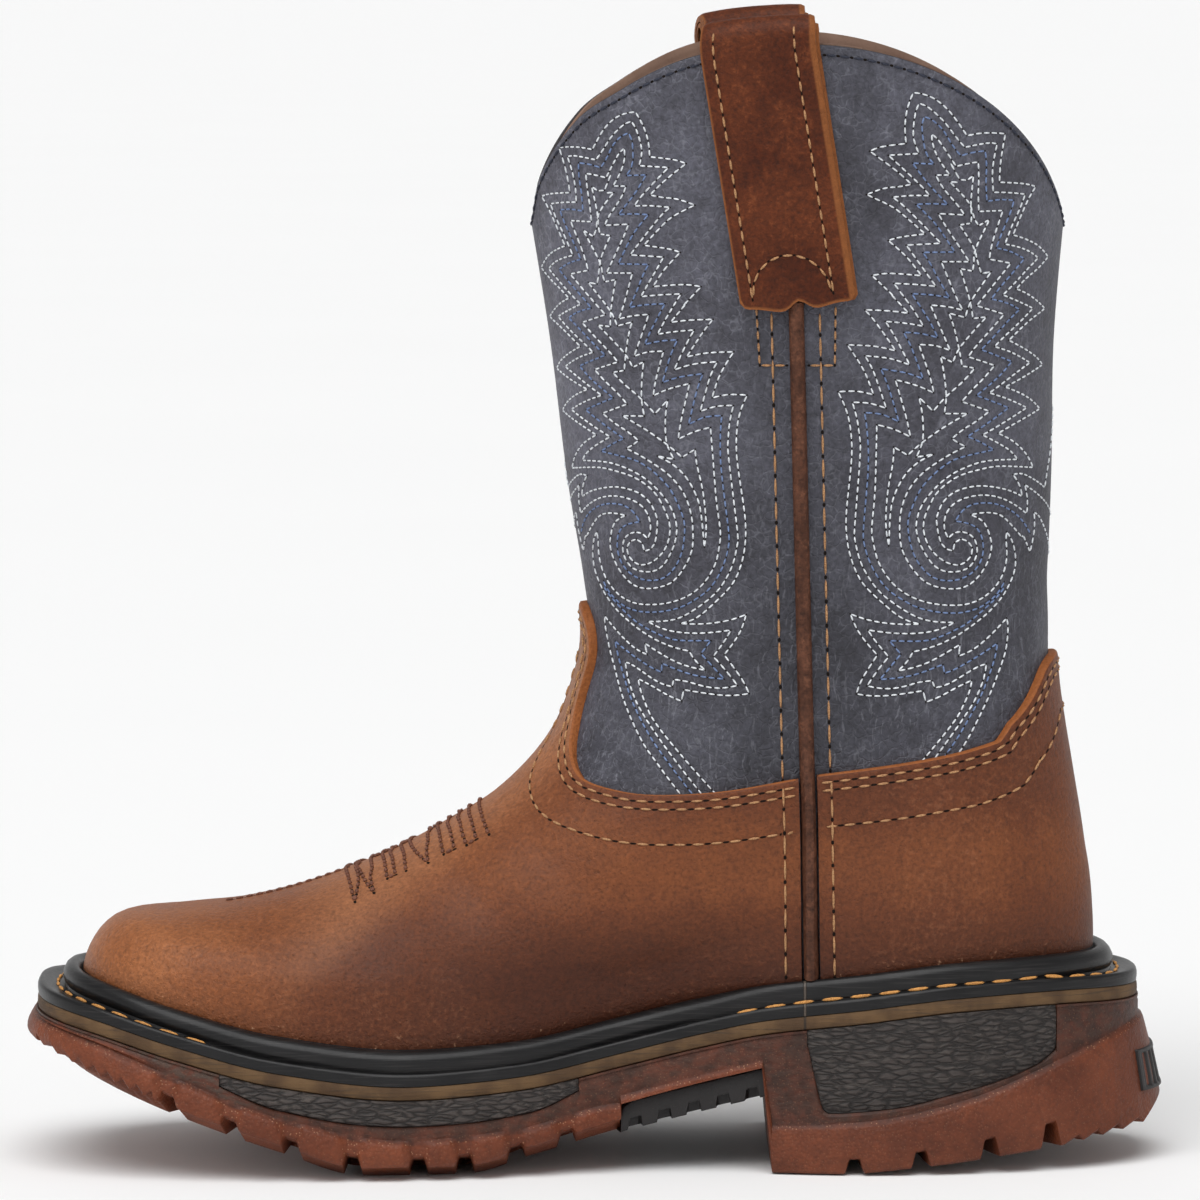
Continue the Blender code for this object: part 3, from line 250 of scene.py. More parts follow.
# Flame stitching on one half of a shaft panel: thread and a line of (round from the side seam, height)
FLAME_ROWS = [
    ("white", [
        (23.3, 206.1), (22.4, 204.1), (21.8, 202), (21.5, 199.3), (21.7, 196.5), (16.7, 195.9),
        (14.6, 195.1), (19.5, 191.5), (22.6, 188.8), (19.7, 188.3), (17.2, 188.1), (13.8, 186.9),
        (18.7, 184.6), (21.1, 182.8), (25.1, 179.4), (20, 178.8), (17.8, 178.2), (21.3, 175.1),
        (24.2, 171.5), (17.7, 172), (14.5, 171.6), (18.6, 167.7), (18, 168.1), (21.5, 164.4), (17.6, 164.9),
        (13, 165.1), (14.9, 162.9), (18.8, 157.3), (14.8, 158.2), (9.5, 158.5), (11.1, 156.1),
        (12.8, 153.1), (14.3, 149), (11.2, 149.7), (7.5, 149.6), (8.6, 147.3), (9.5, 144.3), (9.9, 140.4),
        (9.8, 136.5), (8.7, 127.6), (8.5, 123.8), (8.7, 120.9), (9.3, 117.9), (10.2, 115.3), (12, 112.3),
        (17, 107.6), (19.6, 105.9), (22.3, 105.1), (18.9, 105.1), (15.6, 105.4), (12, 106.1), (8.9, 107.2),
        (10.2, 104.1), (12.1, 101.4), (13.9, 99.3), (10.9, 94.8), (9.7, 91.9), (12.3, 91.5), (15.9, 91.5),
        (22.7, 92.3), (23.2, 90.1), (26.5, 91.3), (29.4, 92.7), (32.8, 94), (32.3, 92.1), (30.7, 89.1),
        (28.8, 86.2), (21.2, 77.7), (14.3, 70),
    ]),
    ("white", [
        (23.3, 206.1), (25.4, 205.8), (27.6, 204.9), (29.9, 203.2), (31.8, 201.1), (34.2, 197.9),
        (36.7, 198.3), (39.6, 198.4), (43, 198.2), (41.8, 192.8), (41.5, 189), (48.1, 188.6), (51.5, 188),
        (49.5, 186), (47.2, 182.7), (44.9, 178.9), (48.6, 178), (52.8, 176.6), (56.8, 174.4), (52.5, 172.2),
        (48.7, 170.5), (45.8, 168.6), (50, 167.2), (55.9, 164.5), (50.6, 162.7), (46.8, 160.8),
        (43.6, 158.8), (51.9, 155.5), (55, 153.7), (49.9, 152.3), (42.4, 149.9), (46, 148.8), (49.9, 147.3),
        (53.6, 145.3), (49.1, 144.1), (44.3, 142.6), (40.4, 141.1), (43.8, 139.7), (46.8, 137.9),
        (49, 136.1), (50.6, 134.1), (40.5, 134.8), (35.8, 134.3), (32, 133.5), (29, 132.1), (26.4, 130),
        (25, 127.7), (23.9, 125.4), (23.6, 123), (24.5, 120), (26.2, 118), (27.9, 116.8), (30.5, 116.1),
        (32.4, 116.8), (33.6, 118.1), (33.8, 119.4), (32.9, 120.6), (31.3, 121.2), (30.1, 120.8),
        (29.6, 119.7), (29.5, 118.9), (28, 119.4), (26.9, 120.9), (26.3, 124.9), (26.7, 126.3),
        (27.8, 128.3), (29.7, 129.9), (32.3, 130.8), (35.8, 131.2), (40, 130.7), (43.5, 129.9),
        (46.8, 128.7), (46.1, 130.9), (44.2, 133), (47.3, 133), (56, 129.9), (57.7, 133.3), (60.9, 138.1),
        (70, 152),
    ]),
    ("white", [
        (24.4, 204.1), (23.9, 203.2), (23.4, 201.1), (23.1, 198.1), (23.6, 196), (24.2, 194.6),
        (18.2, 194.3), (24.5, 188.5), (26.2, 186.6), (23, 186.7), (18.8, 186.4), (21.1, 184.6),
        (28.3, 177.6), (21.3, 177.3), (27.1, 169.4), (23.6, 169.8), (18.7, 170.1), (22.4, 165.1),
        (24.4, 161.9), (20.9, 162.5), (16.9, 162.9), (18.5, 160.3), (21.5, 154.6), (17.4, 155.9),
        (12.8, 156.4), (14.4, 153.4), (16.7, 146.4), (13.5, 147.4), (10.2, 147.6), (11, 144.6),
        (11.4, 141.4), (11.5, 137.8), (10.1, 123.2), (10.3, 120.5), (11.1, 117.2), (12.5, 114.3),
        (14.4, 111.6), (16.7, 109.6), (19.3, 107.8), (22.3, 106.2), (25.8, 105.4), (29.5, 105.2),
        (27.2, 104.2), (24, 103.5), (20.2, 103.3), (16.5, 103.5), (12.2, 104.1), (13.5, 102.1),
        (16.1, 98.9), (14, 96.5), (11.8, 93.4), (15.2, 92.8), (18.6, 93.1), (21.7, 93.9), (24.6, 94.2),
        (25.1, 92.8), (28, 93.5), (33.6, 96.3), (36.2, 97), (35.5, 94.2), (33.8, 91), (31.8, 88.1),
        (23.7, 78), (17.3, 70),
    ]),
    ("white", [
        (24.4, 204.1), (26, 203.5), (27.9, 202), (29.8, 200.2), (31.8, 197.7), (33.7, 195.7), (38.8, 196.5),
        (41, 196.3), (40.2, 193.4), (39.8, 190.4), (40, 187.1), (43.7, 187), (48.3, 186.6), (46.8, 183.9),
        (44.6, 180.6), (42.8, 177.2), (46.7, 176.5), (50.1, 175.5), (52.7, 174.3), (48.7, 172),
        (42.2, 167.5), (51, 164.7), (42.8, 159.8), (39.9, 157.7), (44.2, 156.5), (49.9, 154.3),
        (45.5, 152.5), (38.4, 148.9), (43, 147.6), (48.6, 145.7), (43.8, 143.9), (36.6, 140.9),
        (40.6, 139.1), (43.7, 137.5), (45.5, 135.9), (40, 136), (35.9, 135.7), (32, 134.6), (29, 133.2),
        (26.5, 131.3), (24.3, 129), (22.9, 126.8), (22.2, 124.3), (22.2, 123), (22.7, 120.7), (24.1, 118),
        (25.7, 116), (27.8, 115), (30.4, 114.9), (32.7, 115.5), (34.3, 117.1), (34.9, 119), (34.4, 121),
        (32.9, 122.2), (31, 122.6), (29.5, 122.2), (28.6, 121.4), (27.9, 122.9), (27.9, 124.5),
        (28.5, 126.3), (30, 127.9), (32.7, 129), (36.6, 129.4), (40.8, 128.7), (45, 127), (48.2, 125.3),
        (48.6, 127.8), (47.7, 130.9), (56.3, 127.2), (70, 121.3),
    ]),
    ("blue", [
        (25.4, 201.6), (24.9, 200.2), (25, 198.1), (25.4, 195.4), (26.2, 193.6), (27.2, 192.6),
        (22.9, 192.8), (26, 188.8), (29.9, 184.9), (26.9, 185.1), (23.4, 185), (25.6, 183), (27.8, 180.6),
        (31.2, 175.9), (24.6, 175.9), (26.1, 173.7), (27.6, 170.9), (29.9, 167.2), (26.5, 167.8),
        (22.2, 168.1), (25.5, 163.1), (27.3, 159.7), (23.9, 160.5), (20.4, 160.8), (21.9, 157.9),
        (24.1, 151.9), (20.7, 153.1), (15.8, 153.9), (17.2, 150.5), (19.1, 143.8), (15.8, 145.3),
        (12.5, 145.6), (12.9, 142.3), (13, 135.4), (11.8, 123.2), (12, 120.2), (12.7, 117.6), (14.1, 114.6),
        (16.1, 111.9), (18.4, 110.2), (21.4, 108.5), (24.8, 107.5), (28.7, 107), (32, 107.1), (35.1, 107.8),
        (37.6, 109), (39.8, 110.6), (41.4, 112.5),
    ]),
    ("blue", [
        (41.4, 111.5), (39.7, 109.9), (35.1, 106.7), (32.3, 104.9), (28.9, 103.4), (25.4, 102.2),
        (22.5, 101.8), (16.3, 102), (18.5, 99.4), (14.3, 94.6), (20.4, 95.2), (27, 97.2), (27, 96.2),
        (27.2, 95.5), (30.3, 96.6), (39, 100.8), (38.3, 98.1), (36.3, 93.9), (34.1, 90), (29.1, 82.6),
        (26, 78.7), (19.1, 70),
    ]),
    ("blue", [
        (25.4, 201.6), (27.2, 200.8), (29.2, 199), (31, 196.2), (32.8, 194.1), (35.2, 194.7), (38.2, 195),
        (38.5, 192.2), (38.3, 188.9), (38.5, 185.4), (41.7, 185.7), (45.2, 185.5), (44.2, 183.1),
        (42.1, 179.5), (40.6, 176.5), (44.1, 175.8), (48.1, 174.3), (41.6, 169.1), (39.3, 166.8),
        (43.4, 165.9), (46.7, 164.6), (43.3, 162.4), (36.7, 157.2), (44.3, 154.7), (40.9, 152),
        (35.4, 148.5), (43.2, 145.9), (33.2, 140.7), (36, 139.6), (39.2, 138), (31.7, 136.8), (28.3, 135.4),
        (25.5, 133.3), (23.3, 131), (21.9, 128.4), (20.8, 125.8), (20.5, 124), (21, 120.1), (22, 117.4),
        (23.7, 115.1), (25.7, 113.7), (28.5, 113.2), (31.5, 113.6), (34.3, 115.1), (35.9, 117.3),
        (36.3, 119.6), (35.8, 122), (34.5, 123.5), (32.5, 124.2), (30.3, 124.6), (31.5, 126.2),
        (33.4, 127.5), (36.6, 127.9), (40.3, 127.4), (44, 125.9), (47, 123.9), (49.5, 121.4),
    ]),
    ("white", [
        (26.8, 198.3), (27, 196.3), (27.8, 194.2), (29, 192.3), (30.4, 190.5), (27.5, 190.5), (28.9, 188.1),
        (32.2, 184.5), (33.4, 182.9), (27.9, 183.2), (29.5, 180.6), (34.3, 174), (28.3, 174.1),
        (31.2, 167.5), (32.7, 164.8), (29.7, 165.5), (25.9, 165.9), (29.8, 157.2), (26.7, 158.2),
        (23.4, 158.4), (25.5, 152.3), (26.2, 149.2), (22.7, 150.7), (18.6, 151.8), (20.6, 144.5),
        (21.3, 140.9), (18.1, 142.4), (14.8, 143.3), (14.2, 130.8), (13.4, 123.2), (13.8, 120.2),
        (14.5, 117.2), (16.4, 113.9), (18.7, 111.6), (21.7, 109.9), (25.2, 108.9), (28.8, 108.5),
        (32.4, 108.6), (36, 109.7), (38.9, 111.6), (41.1, 114.1), (42.2, 117.4), (42, 120.4), (42.2, 122.1),
        (43.7, 120.3), (44.6, 117.6), (44.5, 114.9), (42.9, 112.1), (40.6, 109.5), (37.5, 107),
        (34.2, 104.9), (30.8, 103), (27.5, 101.5), (24, 100.4), (20.9, 99.8), (19.8, 98), (17.9, 96.2),
        (21.1, 96.8), (24.6, 97.9), (30.7, 100.9), (30.6, 99.7), (30.3, 98.7), (32.9, 99.6), (35.7, 101.2),
        (41.9, 105.5), (42.1, 103.8), (41, 99.2), (38.9, 95), (36.6, 90.9), (31.2, 82.2), (28.4, 78.7),
        (21.4, 70),
    ]),
    ("white", [
        (26.8, 198.3), (27.9, 197.5), (31.8, 192.1), (34.1, 192.6), (36.6, 192.9), (36.7, 190.2),
        (36.5, 186.8), (36.6, 183.5), (42.3, 183.6), (39.7, 177.7), (38.9, 174.4), (44.3, 173.5),
        (40.8, 170.4), (35.8, 165.6), (42.4, 163.8), (35.6, 158), (33.7, 155.9), (39.8, 154.1),
        (37.1, 151.7), (34.3, 149.5), (32.1, 147.4), (38.3, 145.4), (35.3, 143.6), (32.1, 142),
        (29.8, 140.4), (31, 139.6), (32.7, 138.8), (29.8, 137.6), (26.6, 135.9), (23.7, 134), (21.2, 131.4),
        (19.8, 128.8), (19.1, 126.2), (18.9, 124.4), (19, 120.4), (19.9, 117.8), (21.6, 115.1),
        (23.6, 113.1), (26, 112.1), (29.2, 111.6), (32.2, 112), (34.9, 113.7), (37.1, 116.3), (38.3, 119.2),
        (37.9, 121.6), (36.5, 124.3), (33.7, 125.7), (34.9, 125.9), (37.7, 126), (40.7, 125.4),
        (43.5, 123.4), (46.5, 120.9), (47.1, 121.1), (49.4, 117.8), (50.4, 119.9), (51.2, 122.5),
        (51, 125.4), (53, 124.6), (56.3, 122), (70, 111.2),
    ]),
    ("white", [
        (30.5, 192.9), (32.5, 189.6), (33.9, 189.4), (35.5, 190.3), (34.8, 185), (35, 183.2), (34.8, 181.3),
        (32.3, 181), (33.8, 179), (35.6, 176.2), (36.1, 174.1), (37, 171.7), (39.3, 172), (34.6, 166.6),
        (33.2, 163.4), (29.7, 164.3), (30.7, 161.7), (31.7, 157.5), (32.3, 154.2), (35.1, 153.7),
        (32.4, 151.2), (28.8, 148.5), (26, 145.7), (23.2, 148.4), (23.8, 145.1), (23.8, 140.2), (22.4, 137),
        (25.9, 137.5), (22.7, 136), (19.9, 133.4), (17.8, 129.5), (17.1, 126.2), (16.7, 120.1),
    ]),
    ("white", [
        (32.3, 189.1), (30.4, 189.2), (34.6, 185), (35.3, 182.6), (36.5, 180.8), (39, 181.9), (35.6, 176.2),
        (35.4, 174.1), (35, 172.2), (32.3, 172.7), (34.3, 166.6), (34.9, 163.2), (38, 163.4), (34.9, 160.7),
        (31.7, 157.5), (30.3, 154.9), (27.8, 156.1), (28.4, 152.9), (28.8, 148.5), (28.3, 145.2),
        (33.3, 145.1), (28.5, 142.8), (23.8, 139.9), (20.7, 137.4), (18, 139), (17.8, 136.1), (16.8, 131.5),
        (16.3, 127.2), (16.2, 123.4), (16.7, 120.1),
    ]),
]
# The front panel's pattern leans away from the seam and hangs lower near the collar
FRONT_LEAN_Z = (70.0, 92.0, 107.0, 150.0, 164.0, 176.0, 186.0, 195.0, 206.0)
FRONT_LEAN = (0.8, 1.0, 2.0, 2.2, 2.8, 4.0, 5.0, 5.8, 7.1)
FRONT_DROP = (0.0, 0.0, 0.2, 0.7, 1.8, 2.4, 2.0, 2.4, 3.7)
FLAME_HEIGHTS = (68.0, 213.0)
FLAME_HEIGHT_STEP = 2.0

# Stitching on the top of the vamp, as lines of the near half in the side view, and the row along its ridge
TOE_STITCHES = [
    [(-48.0, 55.7), (-47.0, 53.9), (-46.0, 51.5), (-45.5, 54.3), (-45.7, 56.4)],
    [(-45.7, 56.4), (-44.3, 54.9), (-42.4, 53.1), (-43.3, 55.6), (-42.4, 58.3)],
    [(-41.0, 59.1), (-40.5, 57.5), (-39.9, 55.5), (-38.3, 56.2), (-39.0, 58.1), (-39.2, 59.7)],
    [(-37.2, 60.8), (-36.8, 59.1), (-36.3, 57.0)],
    [(-36.3, 61.1), (-34.7, 60.0), (-32.1, 58.6), (-32.5, 60.6), (-31.6, 63.6)],
    [(-30.3, 64.3), (-29.9, 62.5), (-29.1, 60.1), (-27.0, 61.1), (-27.7, 63.2), (-28.6, 65.4)],
    [(-26.4, 66.6), (-25.8, 64.4), (-24.7, 62.0), (-22.8, 63.1), (-23.6, 65.4), (-24.7, 67.6)],
    [(-22.6, 68.8), (-21.7, 66.6), (-20.4, 64.1)],
]
TOE_RIDGE_RUN = (-72.0, -49.0)

# The welt's stitches lie hidden under its bead between two places, and tuck under it on the way there
WELT_HIDDEN = (-73.0, 26.0)
WELT_TUCK_X = (-86.0, -70.0, 28.0, 44.0)
WELT_ROW_OUT = 4.7
WELT_ROW_EDGE = 1.0
WELT_ROW_MIDDLE = 41.0

# Other rows of stitches: inside a panel's edge, beside the side seam with the height of the panel there, and
# below the collar
PANEL_INSETS = (1.5, 3.1, 10.2)
SEAM_ROWS = ((-4.7, 74.9), (4.4, 76.9))
SEAM_ROW_RUN = (165.0, 38.0)
COLLAR_ROW = 0.085

# How rows are sewn: pitch, part of it that the thread covers, thread, needle hole's painted shadow, sharpest
# turn in a run
FLAME_SEWING = (1.62, 0.78, 0.37, 0.36, 42)
PANEL_SEWING = (3.5, 0.63, 0.52, 0.52, 75)
SEAM_SEWING = (4.6, 0.84, 0.55, 0.75, 50)
STRAP_SEWING = (2.7, 0.76, 0.52, 0.5, 50)
STRAP_BOW_SEWING = (2.7, 0.76, 0.52, 0.5, 80)
STRAP_FOOT_SEWING = (2.5, 0.78, 0.52, 0.6, 50)
COLLAR_SEWING = (2.6, 0.72, 0.62, 0.6, 80)
TOE_SEWING = (2.3, 0.56, 0.85, 0.75, 45)
RIDGE_SEWING = (2.0, 0.75, 0.7, 0.5, 50)
WELT_SEWING = (5.45, 0.76, 0.8, 0.5, 85)

# Stage, in metres but for the camera's pixels and its sensor in millimetres
FLOOR_HALF = 2500.0
CAMERA_PLACE = (0.00087, -1.5, 0.226)
CAMERA_TARGET = (0.00087, 0, 0.1075)
FOCAL_PIXELS = 7762
PICTURE_PIXELS = 1200
SENSOR = 36.0
CLIP_FAR = 6000.0
SUN_AIM = (0.1, 0.5, -1.0)
SUN_BREADTH = math.radians(50)
SUN_STRENGTH = 2.34
SOFTBOX_PLACE = (-0.9, -1.2, 0.9)
SOFTBOX_TARGET = (0, 0, 0.1)
SOFTBOX_SIZE = 0.8
SOFTBOX_POWER = 2
HORIZON_LIGHT = 1.05
OVERHEAD_LIGHT = 0.32


def smooth_table(xs, ys, x):
    """Values at x on a smooth curve through a table, with no overshoot."""
    xs, ys = np.asarray(xs, float), np.asarray(ys, float)
    x = np.clip(np.asarray(x, float), xs[0], xs[-1])
    slopes = np.diff(ys) / np.diff(xs)
    same_way = slopes[:-1] * slopes[1:] > 0
    total = np.where(same_way, slopes[:-1] + slopes[1:], 1.0)
    inside = np.where(same_way, 2 * slopes[:-1] * slopes[1:] / total, 0.0)
    tangents = np.concatenate([slopes[:1], inside, slopes[-1:]])
    i = np.clip(np.searchsorted(xs, x, side="right") - 1, 0, len(xs) - 2)
    run = xs[i + 1] - xs[i]
    u = (x - xs[i]) / run
    start = (1 + 2 * u) * (1 - u) ** 2 * ys[i] + u * (1 - u) ** 2 * run * tangents[i]
    return start + u * u * (3 - 2 * u) * ys[i + 1] + u * u * (u - 1) * run * tangents[i + 1]


def along_sole(values, x):
    return smooth_table(STATION_X, values, x)


def seat(x):
    return along_sole(SEAT_Z, x)


def on_seat(points, lift):
    """Points moved to a height over the sole's seat."""
    raised = points.copy()
    raised[..., 2] = seat(raised[..., 0]) + lift
    return raised


def unit(vectors):
    return vectors / np.linalg.norm(vectors, axis=-1, keepdims=True)


def level(vectors):
    """Directions laid flat."""
    flat = vectors.copy()
    flat[..., 2] = 0
    return unit(flat)


def curve_between(a, b, c, d, u):
    """A smooth curve from b to c that heeds their neighbours a and d."""
    return b + 0.5 * u * (c - a + u * (2 * a - 5 * b + 4 * c - d + u * (3 * (b - c) + d - a)))


def full_turn(count):
    return np.linspace(0, 2 * math.pi, count + 1)[:-1]


def halve(low, high, holds, rounds=32):
    """The last place between two where a test holds and the first where it doesn't."""
    for _ in range(rounds):
        middle = (low + high) / 2
        there = holds(middle)
        low, high = np.where(there, middle, low), np.where(there, high, middle)
    return low, high


def section_at(t):
    t = np.asarray(t, float)
    i = np.clip(t.astype(int), 0, COLLAR - 1)
    u = (t - i)[..., None]
    a, b = SECTIONS[np.maximum(i - 1, 0)], SECTIONS[i]
    c, d = SECTIONS[i + 1], SECTIONS[np.minimum(i + 2, COLLAR)]
    return curve_between(a, b, c, d, u)


def plan_point(section, theta):
    """x, y and the part of the way to the front, at an angle round a ring (0 back, half a turn front)."""
    columns = np.moveaxis(section, -1, 0)
    front_x, _, back_x, _, _, half, widest, ahead, behind, waist_in, waist_out, swing, _ = columns
    s = (1 - np.cos(theta)) / 2
    inner = np.sin(theta) >= 0
    widest = widest + BALL_SKEW * swing * np.where(inner, 1, -1)
    forward = s > widest
    reach = np.clip(np.where(forward, (s - widest) / (1 - widest), (widest - s) / widest), 0, 1)
    power = np.where(forward, ahead * np.where(inner, 1.0, OUTER_ROUNDING), behind)
    breadth = half * np.maximum(0, 1 - reach**power) ** (1 / power)
    waist = np.exp(-(((s - WAIST_PLACE) / WAIST_SPREAD) ** 2))
    breadth = breadth - np.where(inner, waist_in, waist_out) * waist
    turn = np.maximum(0, s - 0.5) * 2
    return back_x + s * (front_x - back_x), np.where(inner, -breadth, breadth) - swing * turn * turn, s


def upper_point(theta, t):
    theta, t = np.broadcast_arrays(np.asarray(theta, float), np.asarray(t, float))
    section = section_at(t)
    x, y, s = plan_point(section, theta)
    feather_x = FEATHER[2] + s * (FEATHER[0] - FEATHER[2])
    feather_line = FEATHER[3] + s * (FEATHER[1] - FEATHER[3])
    z = section[..., 3] + s * (section[..., 1] - section[..., 3])
    z = z + section[..., 4] * (seat(feather_x) + FEATHER_LIFT - feather_line)
    soft = np.hypot(np.sin(theta), COLLAR_ROUNDING) - COLLAR_ROUNDING
    rise = section[..., 12] * np.where(np.sin(theta) >= 0, 1.0, OUTER_RISE)
    z = z + rise * soft / (math.hypot(1, COLLAR_ROUNDING) - COLLAR_ROUNDING)
    from_front = math.pi - np.arccos(np.cos(theta))
    fullness = smooth_table(FRONT_FULLNESS_AT, FRONT_FULLNESS, from_front)
    z = z + section[..., 12] / SECTIONS[-1, 12] * fullness
    return np.stack([x, y, z], axis=-1)


def upper_normal(theta, t):
    step = 1e-3
    along = upper_point(theta + step, t) - upper_point(theta - step, t)
    up = upper_point(theta, np.minimum(t + step, COLLAR)) - upper_point(theta, np.maximum(t - step, 0))
    return unit(np.cross(up, along))


def crease_depth(points, theta):
    """How deep the worked-in troughs are at points of the upper."""
    side = np.where(np.sin(theta) >= 0, -1, 1)
    depth = np.zeros(points.shape[:-1])
    for x0, z0, x1, z1, deep, broad, where in CREASES:
        run_x, run_z = x1 - x0, z1 - z0
        long = math.hypot(run_x, run_z)
        along = ((points[..., 0] - x0) * run_x + (points[..., 2] - z0) * run_z) / long
        off = ((points[..., 0] - x0) * run_z - (points[..., 2] - z0) * run_x) / long
        off = off + CREASE_WANDER * broad * np.sin(along * CREASE_WAVE + deep * CREASE_PHASE)
        beyond = np.maximum(0, np.abs(along - long / 2) - long / 3) / (long / 4)
        trough = np.exp(-((off / broad) ** 2) * CREASE_STEEP)
        beside = (off - CREASE_SWELL_OFF * broad) / broad
        trough = trough - CREASE_SWELL * np.exp(-(beside**2) * CREASE_STEEP)
        depth = depth + np.where(side == where, deep * trough * np.exp(-beyond**2), 0)
    return depth


def upper_skin(theta, t, out):
    """The upper's surface with its creases, moved out along its normal."""
    theta, t, out = np.broadcast_arrays(*(np.asarray(value, float) for value in (theta, t, out)))
    base = upper_point(theta, t)
    return base + upper_normal(theta, t) * (out - crease_depth(base, theta))[..., None]


def section_at_height(theta, z):
    """The section whose point at an angle has a height."""
    theta, z = np.broadcast_arrays(np.asarray(theta, float), np.asarray(z, float))
    ends = np.zeros(theta.shape), np.full(theta.shape, float(COLLAR))
    return halve(*ends, lambda t: upper_point(theta, t)[..., 2] < z)[0]


def angle_at(x, t):
    section = section_at(t)
    s = (section[..., 2] - x) / (section[..., 2] - section[..., 0])
    return np.arccos(1 - 2 * np.clip(s, 0, 1))


def side_place(x, z, inner):
    """Angle and section of the upper's point that shows at x and z in the side view."""
    x, z = np.broadcast_arrays(np.asarray(x, float), np.asarray(z, float))
    way = 1 if inner else -1
    ends = np.zeros(x.shape), np.full(x.shape, float(COLLAR))
    section = halve(*ends, lambda t: upper_point(way * angle_at(x, t), t)[..., 2] < z)[0]
    return way * angle_at(x, section), section


def end_place(half, z, front, inner):
    """Angle and section at a half width and a height on the front or the back of the upper."""
    half, z = np.broadcast_arrays(np.asarray(half, float), np.asarray(z, float))
    way = 1 if inner else -1

    def wider(angle):
        return np.abs(upper_point(way * angle, section_at_height(way * angle, z))[..., 1]) > half

    ends = np.full(half.shape, math.pi / 2), np.full(half.shape, math.pi if front else 0.0)
    near, far = halve(*ends, wider, 26)
    theta = way * (near + far) / 2
    return theta, section_at_height(theta, z)


def seam_x(z):
    part = (z - SEAM_FOOT[1]) / (SEAM_TOP[1] - SEAM_FOOT[1])
    return SEAM_FOOT[0] + part * (SEAM_TOP[0] - SEAM_FOOT[0])


def seam_angle(t, shift, inner):
    """Angle of the side seam, moved along by a shift, at a section."""
    way = 1 if inner else -1
    x = np.full(np.shape(t), (SEAM_TOP[0] + SEAM_FOOT[0]) / 2)
    for _ in range(3):
        x = seam_x(upper_point(way * angle_at(x, t), t)[..., 2]) + shift
    return angle_at(x, t)


def smooth_run(rows, steps):
    """Points on a smooth curve through a short table of points."""
    rows = np.asarray(rows, float)
    ends = len(rows) - 1
    line = []
    for i in range(ends):
        a, b, c, d = rows[max(i - 1, 0)], rows[i], rows[i + 1], rows[min(i + 2, ends)]
        for u in np.arange(steps) / steps:
            line.append(curve_between(a, b, c, d, u))
    line.append(rows[-1])
    return np.array(line)


def filled(rows, count):
    """Points along straight lines between a few."""
    return without_repeats(np.concatenate([np.linspace(p, q, count) for p, q in zip(rows, rows[1:])]))


def without_repeats(line, apart=1e-6):
    return line[moved_on(line, apart)]


def moved_on(line, apart):
    """Which points of a line lie apart from the one before."""
    return np.concatenate([[True], np.linalg.norm(np.diff(line, axis=0), axis=1) > apart])


def spread(weights, count):
    """Evenly spaced places along a run of points, in steps of the run's own numbering."""
    total = np.concatenate([[0], np.cumsum(weights)])
    return np.interp(np.linspace(0, total[-1], count), total, np.arange(len(total)))


# Pieces


def sheet(points, **marks):
    """A grid laid out by an array of points, joined where its edges meet, with numbers on its vertices."""
    columns, rows = points.shape[0] - 1, points.shape[1] - 1
    bm = bmesh.new()
    bmesh.ops.create_grid(bm, x_segments=columns, y_segments=rows, size=0.5)
    layers = {name: bm.verts.layers.float.new(name) for name in marks}
    for vert in bm.verts:
        i, j = round((vert.co.x + 0.5) * columns), round((vert.co.y + 0.5) * rows)
        vert.co = points[i, j]
        for name, layer in layers.items():
            vert[layer] = marks[name][i, j]
    bmesh.ops.remove_doubles(bm, verts=bm.verts, dist=MERGE)
    open_edges = [edge for edge in bm.edges if edge.is_boundary]
    if open_edges:
        bmesh.ops.holes_fill(bm, edges=open_edges, sides=0)
    return bm


def closed(points):
    """A grid whose last row meets its first."""
    return np.concatenate([points, points[:, :1]], axis=1)


def turned(points):
    """A grid whose last column meets its first."""
    return np.concatenate([points, points[:1]], axis=0)


def capped(front, back):
    """Rings round a slab between two faces, with a row at each end that closes it at the middle."""
    middle = (front + back) / 2
    rings = np.concatenate([front, back[:, ::-1]], axis=1)
    cap = np.concatenate([middle, middle[:, ::-1]], axis=1)
    return np.concatenate([cap[:1], rings, cap[-1:]], axis=0)


def both_sides(inner, outer):
    """Rings across the sole: the rows of its inner side, then those of its outer side back again."""
    return np.concatenate([inner, outer[:, ::-1]], axis=1)


def add_object(name, data):
    obj = bpy.data.objects.new(name, data)
    bpy.context.scene.collection.objects.link(obj)
    return obj


def piece(name, bm, material, slot, *nodes, crisp=38):
    """Finishes a piece and gives back a tree to set stitches on it."""
    bmesh.ops.recalc_face_normals(bm, faces=bm.faces)
    for face in bm.faces:
        face.smooth = True
    tree = BVHTree.FromBMesh(bm)
    mesh = bpy.data.meshes.new(name)
    bm.to_mesh(mesh)
    bm.free()
    mesh.transform(Matrix.Scale(MM, 4) @ Matrix.Translation(SIDE_SHIFT))
    mesh.set_sharp_from_angle(angle=math.radians(crisp))
    mesh.materials.append(material)
    obj = add_object(name, mesh)
    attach(obj, BODY)
    if nodes:
        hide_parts(*nodes)
    return tree


# Upper


